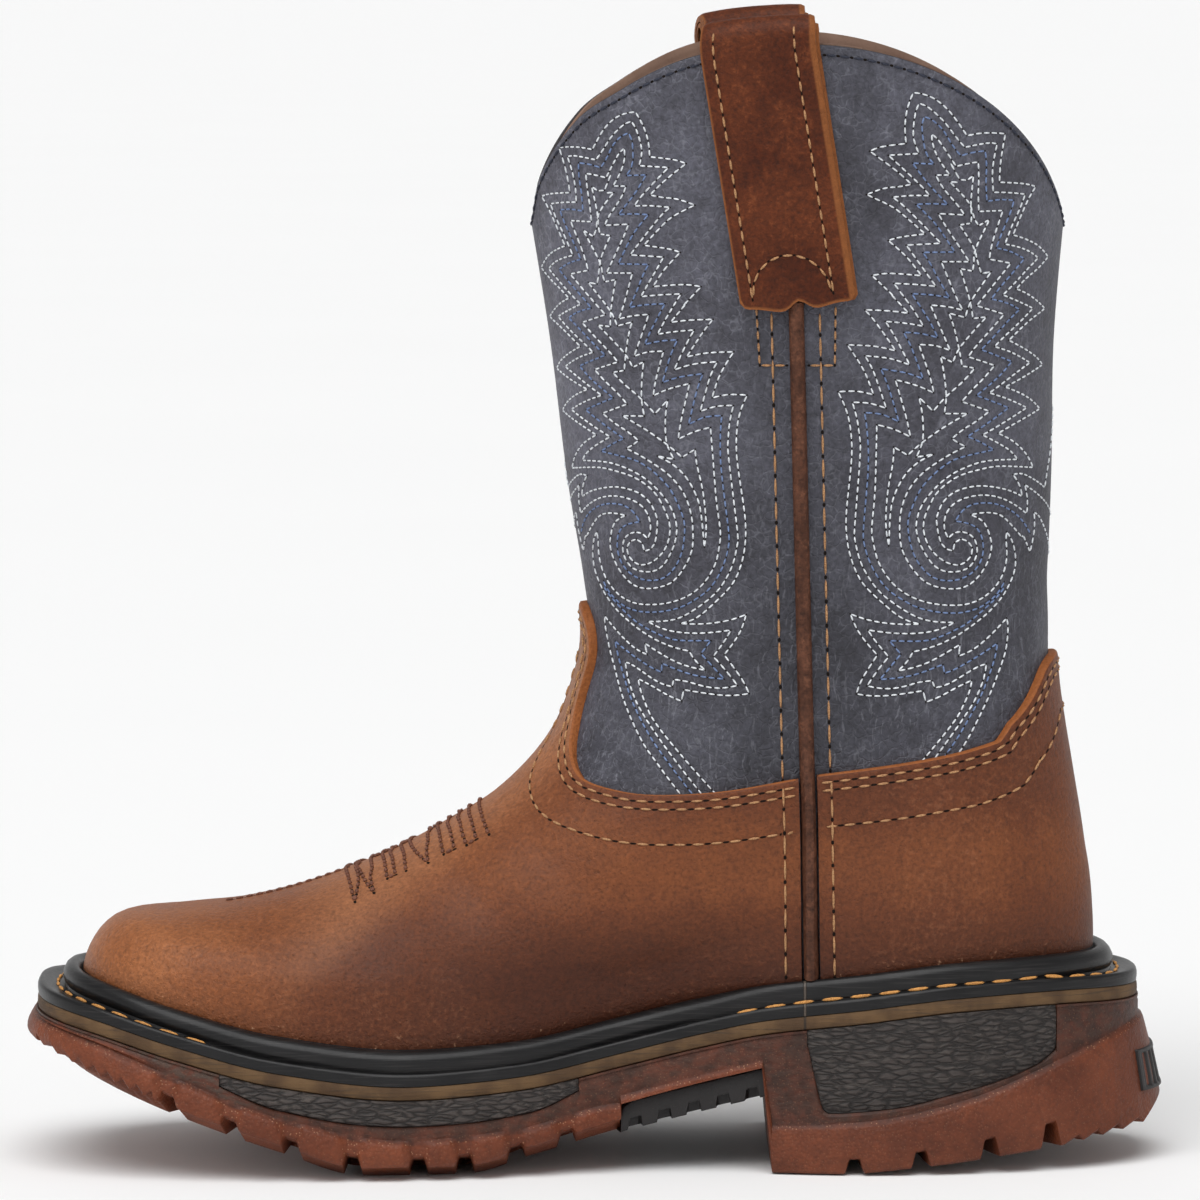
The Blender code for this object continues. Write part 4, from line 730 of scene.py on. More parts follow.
def make_shell(name, face, back, rows, rim, material, slot, *nodes):
    """A ring of leather round the shaft, up its outside, over a rounded rim and down its inside."""
    theta = full_turn(256)
    inside = np.linspace(COLLAR - 0.06, 0, 40)
    over = COLLAR - rim - np.array([0, 0, 0, 0.04])
    t = np.concatenate([rows, over, inside])
    rounding = face - (face - back) * np.array(RIM_PARTS)
    out = np.concatenate([np.full(len(rows), face), rounding, np.full(len(inside), back)])
    points = upper_skin(theta[:, None], t[None, :], out[None, :])
    for j in (0, -1):
        points[:, j] = on_seat(points[:, j], FEATHER_LIFT)
    edge = np.zeros(points.shape[:2])
    edge[:, len(rows):len(rows) + len(over)] = 1.0
    return piece(name, sheet(turned(closed(points)), edge=turned(closed(edge))), material, slot, *nodes)


def panel_edge(side_rows, end_rows, front):
    """Angle and section along a panel's upper edge, from the inner seam round the end to the outer seam."""
    side, end = smooth_run(side_rows, 12), smooth_run(end_rows, 12)
    halves = []
    for inner in (True, False):
        theta_side, t_side = side_place(side[:, 0], side[:, 1], inner)
        theta_end, t_end = end_place(end[:, 0], end[:, 1], front, inner)
        halves.append((np.abs(np.concatenate([theta_side, theta_end])), np.concatenate([t_side, t_end])))
    return halves


def make_panel(name, side_rows, end_rows, front, material, slot, node):
    """An overlay between the two side seams: the vamp with its tongue, or the counter with its heel tab."""
    way_off = -SEAM_ROOM if front else SEAM_ROOM
    end = math.pi if front else 0.0
    runs = []
    for inner, (theta, t) in zip((True, False), panel_edge(side_rows, end_rows, front)):
        seam = seam_angle(t, way_off, inner)
        part = np.clip((theta - seam) / (end - seam), 0, 1)
        part[0], part[-1] = 0.0, 1.0
        part = np.maximum.accumulate(part + np.arange(len(part)) * 1e-7)
        part = part / part[-1]
        step = np.linalg.norm(np.diff(upper_point(theta, t), axis=0), axis=1) + 70 * np.diff(part)
        place = spread(step, 150)
        runs.append((np.interp(place, np.arange(len(t)), part), np.interp(place, np.arange(len(t)), t)))
    (part_in, top_in), (part_out, top_out) = runs
    part = np.concatenate([part_in, part_out[-2::-1]])
    top = np.concatenate([top_in, top_out[-2::-1]])
    inner = np.arange(len(part)) < len(part_in)
    up = np.concatenate([np.linspace(0, 0.93, 62), np.linspace(0.94, 0.985, 8), [0.991, 0.996, 1.0]])
    t = top[:, None] * up[None, :]
    angle = np.where(inner[:, None], seam_angle(t, way_off, True), seam_angle(t, way_off, False))
    angle = angle + (end - angle) * part[:, None]
    angle = np.where(inner[:, None], angle, 2 * end - angle)
    face = np.full(len(up), OVERLAY_OUT)
    face[-3:] = OVERLAY_OUT - np.array(EDGE_ROUNDING)
    outside = upper_skin(angle, t, face[None, :])
    inside = upper_skin(angle, t, 0.04)
    for side in (outside, inside):
        side[:, 0] = on_seat(side[:, 0], FEATHER_LIFT)
    points = capped(outside, inside)
    edge = np.zeros(points.shape[:2])
    edge[:, len(up) - 2:len(up) + 1] = 1.0
    edge[:2] = edge[-2:] = 0.0
    foot = np.clip(1 - capped(t, t) / FOOT_SHADE_TO, 0, 1)
    bm = sheet(closed(points), edge=closed(edge), foot=closed(foot))
    tree = piece(name, bm, material, slot, node)
    return tree, outside


def make_piping(name, inner, material, slot, node):
    """A cord over the side seam, from the welt to the foot of the pull strap."""
    foot = float(seat(SEAM_FOOT[0])) + RIDGE_TOP + 1.0
    z = np.linspace(SEAM_TOP[1] + SEAM_TUCK, foot, 120)
    theta, t = side_place(seam_x(z), z, inner)
    base = upper_skin(theta, t, 0.05)
    normal = upper_normal(theta, t)
    across = unit(np.cross(np.gradient(base, axis=0), normal))
    tall = np.interp(z, PIPING_STEP_Z, PIPING_TALL)
    turn = np.radians(PIPING_TURNS)
    wide = -PIPING_HALF * np.sign(np.cos(turn)) * np.abs(np.cos(turn)) ** PIPING_SQUARING
    high = np.abs(np.sin(turn)) ** PIPING_SQUARING
    points = base[:, None] + across[:, None] * wide[None, :, None]
    points = points + normal[:, None] * (high[None, :] * tall[:, None])[..., None]
    piece(name, sheet(closed(points)), material, slot, node)


def strap_top(a, inner):
    """Angles and points of the collar at places across a strap."""
    angle = angle_at(STRAP_X + a * math.cos(STRAP_LEAN), np.full(a.shape, float(COLLAR)))
    theta = angle if inner else -angle
    return theta, upper_point(theta, float(COLLAR))


def strap_place(top, down, inner):
    """Angles and sections at distances down a strap from the collar."""
    return side_place(top[:, 0] + down * math.sin(STRAP_LEAN), top[:, 2] - down * math.cos(STRAP_LEAN), inner)


def strap_face(a, inner, ending, belly, part):
    """One face of a strap's layer, part of the way out: up the shaft, over the collar and down inside."""
    near_out, near_in = STRAP_NEAR, -UPPER_WALL - GAP
    far_out, far_in = GAP + STRAP_THICK, near_in - STRAP_THICK
    middle = -UPPER_WALL / 2
    theta, top = strap_top(a, inner)
    plan = level(upper_normal(theta, float(COLLAR)))
    down = np.linspace(1, 0.02, 44)[:, None]
    puff = STRAP_PUFF * np.exp(-(((down - 0.5) / 0.3) ** 2)) * belly
    up = upper_skin(*strap_place(top, ending * down, inner), near_out + (far_out - near_out) * part + puff)
    turn = np.linspace(0, math.pi, 19)[:, None]
    near_arch, far_arch = [start + rise * np.sin(turn) for start, rise in STRAP_ARCHES]
    lift = near_arch * (1 - part) + far_arch * part
    outside = turn < math.pi / 2
    near, far = np.where(outside, near_out, near_in), np.where(outside, far_out, far_in)
    out = middle + (near + (far - near) * part - middle) * np.abs(np.cos(turn))
    arch = top[None] + plan[None] * out[..., None]
    arch[..., 2] += lift
    down = STRAP_INSIDE * np.linspace(0.04, 1, 14)[:, None]
    back = upper_skin(*strap_place(top, down, inner), near_in + (far_in - near_in) * part)
    return np.concatenate([up, arch, back])


def make_strap(name, inner, start, stop, wide, slide, material, slot, *nodes):
    """One layer of a pull strap, with a notched foot on the shaft."""
    across = np.linspace(-wide / 2, wide / 2, 25)
    a = across + slide
    wave = STRAP_WAVE * np.cos(a * 2 * math.pi / STRAP_WIDE)
    notch = STRAP_NOTCH * np.exp(-((a - STRAP_NOTCH_MIDDLE) / STRAP_NOTCH_HALF) ** 2)
    corner = np.clip((np.abs(across) - wide / 2 + STRAP_CORNER) / STRAP_CORNER, 0, 1)
    ending = STRAP_LONG + wave - notch - STRAP_CORNER_TALL * corner**2.5
    belly = 1 - (2 * across / wide) ** 2
    low, high = [strap_face(a, inner, ending, belly, part) for part in (start, stop)]
    for side, tuck in ((0, 1), (-1, -2)):
        high[:, side] = high[:, side] * 0.75 + low[:, side] * 0.25
        high[:, side] = high[:, side] * 0.85 + high[:, tuck] * 0.15
    points = capped(low, high)
    edge = np.zeros(points.shape[:2])
    edge[:2] = 1.0
    last = len(a) - 1
    edge[:, last - 1:last + 3] = edge[:, 0:1] = edge[:, -1:] = 1.0
    return piece(name, sheet(closed(points), edge=closed(edge)), material, slot, *nodes)


# Sole


def sole_angle(x):
    s = (SOLE_PLAN[2] - np.asarray(x, float)) / (SOLE_PLAN[2] - SOLE_PLAN[0])
    return np.arccos(1 - 2 * np.clip(s, 0, 1))


def sole_edge(theta, out):
    """Plan points of the sole's edge moved out along its normal."""
    theta, out = np.broadcast_arrays(np.asarray(theta, float), np.asarray(out, float))
    step = 1e-4
    plan = np.broadcast_to(SOLE_PLAN, theta.shape + SOLE_PLAN.shape)
    x, y, _ = plan_point(plan, theta)
    ahead, behind = plan_point(plan, theta + step), plan_point(plan, theta - step)
    run_x, run_y = ahead[0] - behind[0], ahead[1] - behind[1]
    long = np.hypot(run_x, run_y)
    return x - run_y / long * out, y + run_x / long * out


def sole_wall(theta, out, z):
    theta, out, z = np.broadcast_arrays(theta, out, z)
    x, y = sole_edge(theta, out)
    return np.stack([x, y, z], axis=-1)


def end_stations(parts, power, far):
    """Places along a rounded end of the sole, closer where its edge turns."""
    reach = (1 - np.asarray(parts) ** power) ** (1 / power)
    return SOLE_BALL + reach * (far - SOLE_BALL)


TOE_PLACES = end_stations(np.linspace(0, 0.985, 70) ** 0.8, SOLE_PLAN[7], SOLE_PLAN[0])
HEEL_PLACES = end_stations(np.linspace(0.9, 0, 46) ** 0.8, SOLE_PLAN[8], SOLE_PLAN[2])


def tread_height(x, heel):
    if heel:
        return np.interp(x, HEEL_TREAD_X, HEEL_TREAD_Z)
    return smooth_table(FOREPART_TREAD_X, FOREPART_TREAD_Z, x)


def slots(x, middles, mouth, floor):
    """How far a place is inside one of the grooves, 0 on a lug and 1 in a groove."""
    off = np.min(np.abs(np.asarray(x)[..., None] - np.asarray(middles)), axis=-1)
    part = np.clip((mouth / 2 - off) / ((mouth - floor) / 2), 0, 1)
    return part * part * (3 - 2 * part)


def within(x, run):
    return (x > run[0]) & (x < run[1])


def insert_drop(x, heel):
    xs, drops = (HEEL_INSERT_X, HEEL_INSERT_DROP) if heel else (FOREFOOT_INSERT_X, FOREFOOT_INSERT_DROP)
    return smooth_table(xs, drops, x), (x >= xs[0]) & (x <= xs[-1])


def outsole_part(x, heel):
    """Closed cross sections of the outsole at places along it, and where they lie on its lugs, with that mark
    lowered in the valleys as painted shade.
    """
    theta = sole_angle(x)
    top = seat(x) - GAP
    shoulder = np.minimum(along_sole(SHOULDER_Z, x), top - 0.6)
    flare_top, flare_low = along_sole(FLARE_TOP, x), along_sole(FLARE_LOW, x)
    base = tread_height(x, heel)
    if heel:
        rib = ((x - HEEL_RIB_RUN[0]) / HEEL_RIB_PITCH) % 1.0
        rib = np.where(rib < RIB_PEAK, rib / RIB_PEAK, (1 - rib) / (1 - RIB_PEAK))
        tread = base + np.where(within(x, HEEL_RIB_RUN), RIB_DEEP * rib, 0)
        edge_low = tread + HEEL_CROWN
        groove = slots(x, HEEL_GROOVES, GROOVE_MOUTH, HEEL_GROOVE_FLOOR)
        valley = np.zeros(x.shape)
    else:
        waist = x > SHANK_RUN[0]
        tread = np.where(waist, base + SHANK_TALL, base)
        shoulder = np.where(waist, np.maximum(shoulder, tread + 1.6), shoulder)
        tooth = ((x - TOE_TEETH_RUN[0]) / TOE_TOOTH_PITCH) % 1.0
        tooth = np.where(within(x, TOE_TEETH_RUN), np.abs(2 * tooth - 1), 0)
        edge_low = tread + np.where(waist, 0.0, FOREPART_CROWN) + TOE_TOOTH_DEEP * tooth
        groove = slots(x, FOREPART_GROOVES, GROOVE_MOUTH, FOREPART_GROOVE_FLOOR)
        valley = slots(x, FOREPART_GROOVES, VALLEY_MOUTH, VALLEY_FLOOR)
    shoulder = np.minimum(np.maximum(shoulder, edge_low + 1.5), top - 0.4)
    drop, there = insert_drop(x, heel)
    pocket = np.where(there, POCKET_DEEP, 0.0)
    sill = np.maximum(top - np.where(there, drop, 0.4), shoulder + 0.3)
    notch, tuck = HEEL_GROOVE if heel else FOREPART_GROOVE
    flare_top = flare_top - VALLEY_TOP_DEEP * valley
    flare_low = flare_low - VALLEY_LOW_DEEP * valley - tuck * groove
    low = edge_low + (shoulder - GROOVE_ROOF - edge_low) * groove * notch
    inner_z = tread + (shoulder - GROOVE_ROOF_INSIDE - tread) * groove * notch
    halves, lugs = [], []
    for way in (1, -1):
        angle = theta * way
        rim_y = sole_edge(angle, 0.0)[1]
        centre_y = -SOLE_PLAN[11] * np.maximum(0, -np.cos(theta)) ** 2
        reach = np.maximum(np.abs(rim_y - centre_y), 0.01)

        def under(inset, lift):
            part = np.maximum(0.3, (reach - inset) / reach)
            from_middle = (x - SOLE_MIDDLE) / SOLE_HALF
            inner_x = x - 0.6 * inset * from_middle * np.abs(from_middle) ** 3
            inner_y = centre_y + (rim_y - centre_y) * part
            return np.stack([inner_x, inner_y, tread_height(inner_x, heel) + lift], axis=-1)

        points, lug = [], []

        def add(point, mark):
            points.append(point)
            lug.append(np.broadcast_to(mark, x.shape))

        toe = np.interp(x, TOE_WALL_X, (1, 0))
        add(sole_wall(angle, -pocket, top), 0)
        add(sole_wall(angle, -pocket, sill), 0)
        for depth in WALL_ROWS:
            out = -WALL_TUCK * (depth == 0) + TOE_WALL_SWELL * toe * depth
            add(sole_wall(angle, out, sill - 0.05 - (sill - 0.05 - shoulder) * depth), depth * toe)
        ledge = shoulder - LEDGE
        # In the valleys the lug marks are lowered, darkening the colour there as painted shade.
        for part, out in BEVEL_ROWS:
            mark = (0.3 + 0.5 * part) * (1 - 0.5 * valley)
            add(sole_wall(angle, flare_top * out, shoulder - LEDGE * part), mark)
        for part in LUG_ROWS:
            flare = flare_top + (flare_low - flare_top) * part + LUG_BELLY * math.sin(math.pi * part)
            add(sole_wall(angle, flare, ledge + (low - ledge) * part), 1 - 0.4 * valley)
        soft = np.minimum(0.5, (ledge - low) * 0.15)
        add(sole_wall(angle, flare_low, low + soft), 1)
        add(sole_wall(angle, flare_low - 0.35, low + 0.12 * soft), 1)
        for inset in LUG_INSETS:
            lift = inner_z - base + (low - inner_z) * (1 - inset / LUG_INSETS[-1])
            add(under(inset, lift), 0.8)
        for inset, lift in zip(GROOVE_INSETS, (inner_z - base, tread - base)):
            add(under(inset, lift), 0.6)
        halves.append(np.stack(points, axis=1))
        lugs.append(np.stack(lug, axis=1))
    return both_sides(*halves), both_sides(*lugs)


def about(middles, steps):
    """Places at steps before and behind each of a row of middles."""
    steps = np.asarray(steps)
    return (np.asarray(middles)[:, None] + np.concatenate([-steps, steps])).ravel()


def make_outsole(material, slot):
    fore = np.concatenate([
        TOE_PLACES, np.arange(-104, 32.3, 0.5), np.linspace(-106, -83, 70), [FOREPART_BACK],
        about(FOREPART_GROOVES, (0.9, 1.15, 1.4, 1.65, 1.9)),
        about((FOREFOOT_INSERT_X[0], FOREFOOT_INSERT_X[-1], SHANK_RUN[0]), (0.02,)),
    ])
    heel = np.concatenate([
        HEEL_PLACES, np.arange(HEEL_TREAD_X[0], 104, 0.8),
        np.arange(HEEL_RIB_RUN[0], HEEL_RIB_RUN[1] + 0.1, HEEL_RIB_PITCH / 4),
        about(HEEL_GROOVES, (0.8, 1.1, 1.35, 1.6, 1.9)),
        HEEL_INSERT_X[:5], about((HEEL_INSERT_X[0], HEEL_INSERT_X[-1]), (0.02,)),
    ])
    fore, heel = np.unique(fore.round(4)), np.unique(heel.round(4))
    fore, heel = fore[fore <= FOREPART_BACK], heel[heel >= HEEL_TREAD_X[0]]
    parts = outsole_part(fore, False), outsole_part(heel, True)
    points, lug = [np.concatenate(both) for both in zip(*parts)]
    piece("outsole_rubber", sheet(closed(points), lug=closed(lug)), material, slot, "outsole", crisp=30)


def make_insert(name, heel, way, material, slot, node):
    """A textured panel in a pocket of the outsole's side."""
    xs = HEEL_INSERT_X if heel else FOREFOOT_INSERT_X
    x = np.linspace(xs[0] + GAP * 0.3, xs[-1] - GAP * 0.3, 150)
    theta = sole_angle(x) * way
    top = seat(x) - GAP
    sill = np.maximum(top - insert_drop(x, heel)[0], along_sole(SHOULDER_Z, x) + 0.3) + 0.1
    end = np.minimum(1, np.minimum(x - x[0], x[-1] - x))
    face = -0.15 + 0.35 * np.sqrt(end) + 0.25 * np.sin(math.pi * (x - x[0]) / (x[-1] - x[0]))
    back = -POCKET_DEEP + 0.2
    rows = [sole_wall(theta, back, top), sole_wall(theta, back, sill), sole_wall(theta, face - 0.6, sill)]
    for tuck, part in INSERT_FACE:
        rows.append(sole_wall(theta, face - tuck, sill + (top - sill) * part))
    piece(name, sheet(closed(np.stack(rows, axis=1))), material, slot, node)


def make_shank(material, slot):
    """The ribbed block under the arch, right across the sole."""
    x = np.linspace(SHANK_RUN[0] + 0.4, SHANK_RUN[1] + 1.2, 110)
    tread = tread_height(x, False)
    pitch = (x[-1] - x[0]) / SHANK_RIBS
    notch = np.abs(np.sin(math.pi * (x - x[0]) / pitch))
    low = tread + SHANK_NOTCH * np.clip((notch - 0.72) / 0.12, 0, 1)
    corner = np.clip(1 - (x - x[0]) / SHANK_CORNER_LONG, 0, 1)
    high = tread + SHANK_TALL - 0.1 - SHANK_CORNER_TALL * (1 - np.sqrt(1 - corner**2))
    halves = []
    for way in (1, -1):
        theta = sole_angle(x) * way
        rows = [sole_wall(theta, -inset, low + (high - low) * part) for inset, part in SHANK_SIDE]
        rows += [sole_wall(theta, -inset, z) for inset, z in zip(SHANK_UNDER, (low, tread))]
        halves.append(np.stack(rows, axis=1))
    piece("shank_block", sheet(closed(both_sides(*halves))), material, slot, "shank_insert")


def make_midsole(material, slot):
    """The layer between the welt and the outsole."""
    x = np.unique(np.concatenate([TOE_PLACES, np.linspace(-104, 104, 170), HEEL_PLACES]).round(4))
    halves = []
    for way in (1, -1):
        theta = sole_angle(x) * way
        rows = []
        for inset, part in MIDSOLE_SIDE:
            rows.append(on_seat(sole_wall(theta, -inset, 0.0), MIDSOLE_LOW + MIDSOLE_TALL * part))
        halves.append(np.stack(rows, axis=1))
    piece("midsole_layer", sheet(closed(both_sides(*halves))), material, slot, "midsole")


def rim_beyond(start, out):
    """Where lines outwards in plan cross the sole's edge."""
    x, y = sole_edge(np.linspace(0, 2 * math.pi, 1441), 0.0)
    ax, ay, ex, ey = x[:-1], y[:-1], np.diff(x), np.diff(y)
    det = -out[:, 0:1] * ey + out[:, 1:2] * ex
    dx, dy = ax - start[:, 0:1], ay - start[:, 1:2]
    safe = np.where(np.abs(det) < 1e-12, 1.0, det)
    far = (-dx * ey + dy * ex) / safe
    part = (out[:, 0:1] * dy - out[:, 1:2] * dx) / safe
    hit = (np.abs(det) >= 1e-12) & (part >= -1e-9) & (part <= 1 + 1e-9) & (far > 0)
    return np.min(np.where(hit, far, 1e9), axis=1)


def welt_frame(theta):
    """Foot, middle, ridge and rim of the welt at angles round the boot, the way out, and ridge to rim."""
    lines = []
    for section, off in WELT_SECTIONS:
        lines.append(upper_point(theta, section) + upper_normal(theta, section) * (OVERLAY_OUT + off))
    foot, middle, ridge = lines
    out = level(upper_normal(theta, 0.5))
    rim = foot + out * rim_beyond(foot, out)[:, None]
    return foot, middle, ridge, rim, out, ((rim - ridge) * out).sum(axis=1)


def make_welt(material, slot):
    theta = full_turn(360)
    foot, middle, ridge, rim, out, reach = welt_frame(theta)
    slim = np.interp(reach, SLIM_BEAD_REACH, SLIM_BEAD)[:, None]
    rows = [middle, ridge]
    for step, lift in WELT_BEAD:
        rows.append(on_seat(ridge + out * step * slim, lift))
    start, end = ridge + out * WELT_BEAD[-1][0] * slim, rim - out * WELT_EDGE[0][0]
    for part, dip in WELT_DIP:
        rows.append(on_seat(start * (1 - part) + end * part, WELT_TOP - dip))
    for inset, lift in WELT_EDGE:
        rows.append(on_seat(rim - out * inset, lift))
    rows.append(on_seat(foot, FEATHER_LIFT))
    points = np.stack(rows, axis=1)
    return piece("welt_strip", sheet(turned(closed(points))), material, slot, "welt", crisp=50)


def heel_wall(part, z, out):
    """Points on the heel's back wall: part is the breadth, 1 on the inner side."""
    reach = (1 - np.abs(part) ** SOLE_PLAN[8]) ** (1 / SOLE_PLAN[8])
    x = SOLE_BALL + reach * (SOLE_PLAN[2] - SOLE_BALL)
    theta = np.copysign(sole_angle(x), part)
    ledge = along_sole(SHOULDER_Z, x) - LEDGE
    foot = tread_height(x, True) + HEEL_CROWN
    down = (ledge - z) / (ledge - foot)
    flare_top, flare_low = along_sole(FLARE_TOP, x), along_sole(FLARE_LOW, x)
    return sole_wall(theta, flare_top + down * (flare_low - flare_top) + out, z)


def make_heel_plate(material, slot):
    """A panel on the back of the heel with upright ribs in a raised frame."""
    a, b = np.meshgrid(np.linspace(-1, 1, 161), np.linspace(0, 1, 33), indexing="ij")
    rib = 0.5 + 0.5 * np.cos(a * PLATE_RIBS * math.pi)
    tall = PLATE_RUN[1] - PLATE_RUN[0]
    frame_edge = np.minimum((1 - np.abs(a)) * PLATE_HALF, np.minimum(b, 1 - b) * tall)
    framed = np.clip((PLATE_FRAME_WIDE - frame_edge) / 0.25, 0, 1)
    out = PLATE_FLOOR + PLATE_RIB_TALL * np.clip(rib * 1.6 - 0.3, 0, 1)
    out = out * (1 - framed) + PLATE_FRAME_TALL * framed
    out = np.where(frame_edge <= 0.01, -PLATE_TUCK, out)
    points = heel_wall(a * PLATE_PART, PLATE_RUN[0] + tall * b, out)
    piece("heel_plate_ribbed", sheet(points), material, slot, "heel_plate", crisp=50)


# Finishes


class Value:
    """A socket that takes part in sums."""

    def __init__(self, finish, socket):
        self.finish = finish
        self.socket = socket

    def maths(self, operation, *values):
        return self.finish.make("ShaderNodeMath", {"operation": operation}, dict(enumerate(values)))

    def __add__(self, other):
        return self.maths("ADD", self, other)

    __radd__ = __add__

    def __sub__(self, other):
        return self.maths("SUBTRACT", self, other)

    def __rsub__(self, other):
        return self.maths("SUBTRACT", other, self)

    def __mul__(self, other):
        return self.maths("MULTIPLY", self, other)

    __rmul__ = __mul__

    def between(self, low, high):
        """0 below low, 1 above high and smooth between them."""
        settings = {"interpolation_type": "SMOOTHSTEP"}
        inputs = {"Value": self, "From Min": low, "From Max": high}
        return self.finish.make("ShaderNodeMapRange", settings, inputs)


class Finish:
    """A procedural material and the nodes it is made of, with lengths in millimetres."""

    def __init__(self, name, **fixed):
        self.material = bpy.data.materials.new(name)
        self.material.use_nodes = True
        self.tree = self.material.node_tree
        self.shader = self.tree.nodes["Principled BSDF"]
        for socket, value in fixed.items():
            self.shader.inputs[socket.replace("_", " ")].default_value = value
        place = self.make("ShaderNodeTexCoord", {}, {}, "Object")
        self.place = self.vector("SCALE", place, Scale=1 / MM)

    def make(self, kind, settings, inputs, output=0):
        node = self.tree.nodes.new(kind)
        for name, value in settings.items():
            if name == "stops":
                while len(node.color_ramp.elements) < len(value):
                    node.color_ramp.elements.new(0.5)
                for stop, (position, colour) in zip(node.color_ramp.elements, value):
                    stop.position = position
                    stop.color = (*colour, 1)
            else:
                setattr(node, name, value)
        for key, value in inputs.items():
            if isinstance(value, Value):
                self.tree.links.new(value.socket, node.inputs[key])
            elif isinstance(value, tuple) and len(value) == 3 and node.inputs[key].type == "RGBA":
                node.inputs[key].default_value = (*value, 1)
            else:
                node.inputs[key].default_value = value
        return Value(self, node.outputs[output])

    def vector(self, operation, *values, **named):
        inputs = {**dict(enumerate(values)), **named}
        return self.make("ShaderNodeVectorMath", {"operation": operation}, inputs)

    def axis(self, name):
        return self.make("ShaderNodeSeparateXYZ", {}, {0: self.place}, name)

    def stretched(self, x, y, z, place=None):
        return self.vector("MULTIPLY", place or self.place, (x, y, z))

    def noise(self, size, detail=3.0, rough=0.55, place=None):
        inputs = {"Vector": place or self.place, "Scale": 1 / size, "Detail": detail, "Roughness": rough}
        return self.make("ShaderNodeTexNoise", {}, inputs, "Fac")

    def cells(self, size, feature="F1", place=None):
        inputs = {"Vector": place or self.place, "Scale": 1 / size}
        return self.make("ShaderNodeTexVoronoi", {"feature": feature}, inputs, "Distance")

    def bent(self, size, amount):
        """Places pushed about by a soft noise."""
        inputs = {"Vector": self.place, "Scale": 1 / size, "Detail": 2.0}
        drift = self.make("ShaderNodeTexNoise", {}, inputs, "Color")
        off = self.vector("SUBTRACT", drift, (0.5, 0.5, 0.5))
        return self.vector("MULTIPLY_ADD", off, (amount, amount, amount), self.place)

    def joint(self):
        """The narrow butt joint of welt and midsole on the inner side."""
        x, y = self.axis("X"), self.axis("Y")
        return x.between(39.6, 39.8) * x.between(40.3, 40.1) * y.between(5, -5)

    def mark(self, name):
        return self.make("ShaderNodeAttribute", {"attribute_name": name}, {}, "Fac")

    def mix(self, part, first, second):
        return self.make("ShaderNodeMix", {"data_type": "RGBA"}, {0: part, 6: first, 7: second}, 2)

    def shade(self, colour, amount):
        """A colour made darker or lighter by a number."""
        return self.vector("SCALE", colour, Scale=amount)

    def use(self, colour, roughness, height=None, strength=1.0, coat=None):
        links = self.tree.links
        links.new(colour.socket, self.shader.inputs["Base Color"])
        links.new(roughness.socket, self.shader.inputs["Roughness"])
        if coat is not None:
            links.new(coat.socket, self.shader.inputs["Coat Weight"])
        if height is not None:
            inputs = {"Height": height, "Strength": strength, "Distance": MM}
            bump = self.make("ShaderNodeBump", {}, inputs)
            links.new(bump.socket, self.shader.inputs["Normal"])
        return self.material


def tan_leather():
    f = Finish("tan_oiled_leather", Coat_Roughness=0.42, Specular_IOR_Level=0.27)
    x, z = f.axis("X"), f.axis("Z")
    wide, patch, fine = f.noise(38), f.noise(8, 4), f.noise(1.2, 3, 0.7)
    pores, speck = f.cells(0.8), f.noise(0.7, 2, 0.6)
    toe, arch = x.between(-35, -90), x.between(-50, -5) * x.between(75, 25)
    low = z.between(58, 36)
    # The crest of the vamp's front slope is painted lighter as a painted highlight.
    crest_highlight = (z - 0.82 * x).between(77, 88) * x.between(-64, -46)
    band = z.between(62, 72) * x.between(-14, 6)
    back = x.between(82, 96)
    # Darker low on the sides; the arch term, darkest where the upper tucks in above the welt, is painted
    # shade.
    part = 0.51 - 0.08 * x.between(40, 50) + 0.25 * toe - 0.16 * arch * low - 0.34 * low * (1 - toe)
    part = part + 0.26 * crest_highlight - 0.15 * band + 0.1 * back
    part = part + 0.34 * (wide - 0.5) + 0.26 * (patch - 0.5)
    stops = [(0, (0.064, 0.0155, 0.0048)), (0.33, (0.118, 0.0315, 0.009)), (0.62, (0.2, 0.06, 0.0165)),
             (1, (0.36, 0.13, 0.044))]
    colour = f.make("ShaderNodeValToRGB", {"stops": stops}, {0: part})
    worn = fine.between(0.5, 0.7) * wide.between(0.42, 0.6) * 0.12
    colour = f.mix(worn, colour, (0.36, 0.17, 0.09))
    # A pale mix over the crest and the front of the tongue is painted sheen.
    tongue = z.between(76, 92) * x.between(12, -2)
    colour = f.mix(0.18 * crest_highlight + 0.35 * tongue, colour, (0.36, 0.19, 0.11))
    colour = f.shade(colour, 0.05 + 1.1 * speck + 0.8 * fine)
    dots = pores.between(0.25, 0.06) * patch.between(0.3, 0.6) * 0.3
    colour = f.mix(dots, colour, (0.045, 0.015, 0.008))
    foot = f.mark("foot")
    colour = f.mix(foot.between(0.45, 0.95) * 0.6, colour, (0.045, 0.017, 0.011))
    fibre = foot.between(0.5, 0.7) * fine.between(0.6, 0.68) * speck.between(0.5, 0.6)
    colour = f.mix(fibre * 0.8, colour, (0.5, 0.3, 0.18))
    raw = f.mark("edge")
    colour = f.mix(raw.between(0.3, 0.9), colour, f.mix(speck, (0.38, 0.12, 0.028), (0.17, 0.05, 0.013)))
    rough = 0.5 + 0.2 * patch - 0.08 * toe + 0.1 * raw
    height = 0.1 * pores.between(0.0, 0.35) + 0.34 * fine + 0.16 * speck + 0.2 * patch + 0.1 * speck * raw
    return f.use(colour, rough, height, 0.9, 0.12 * wide)


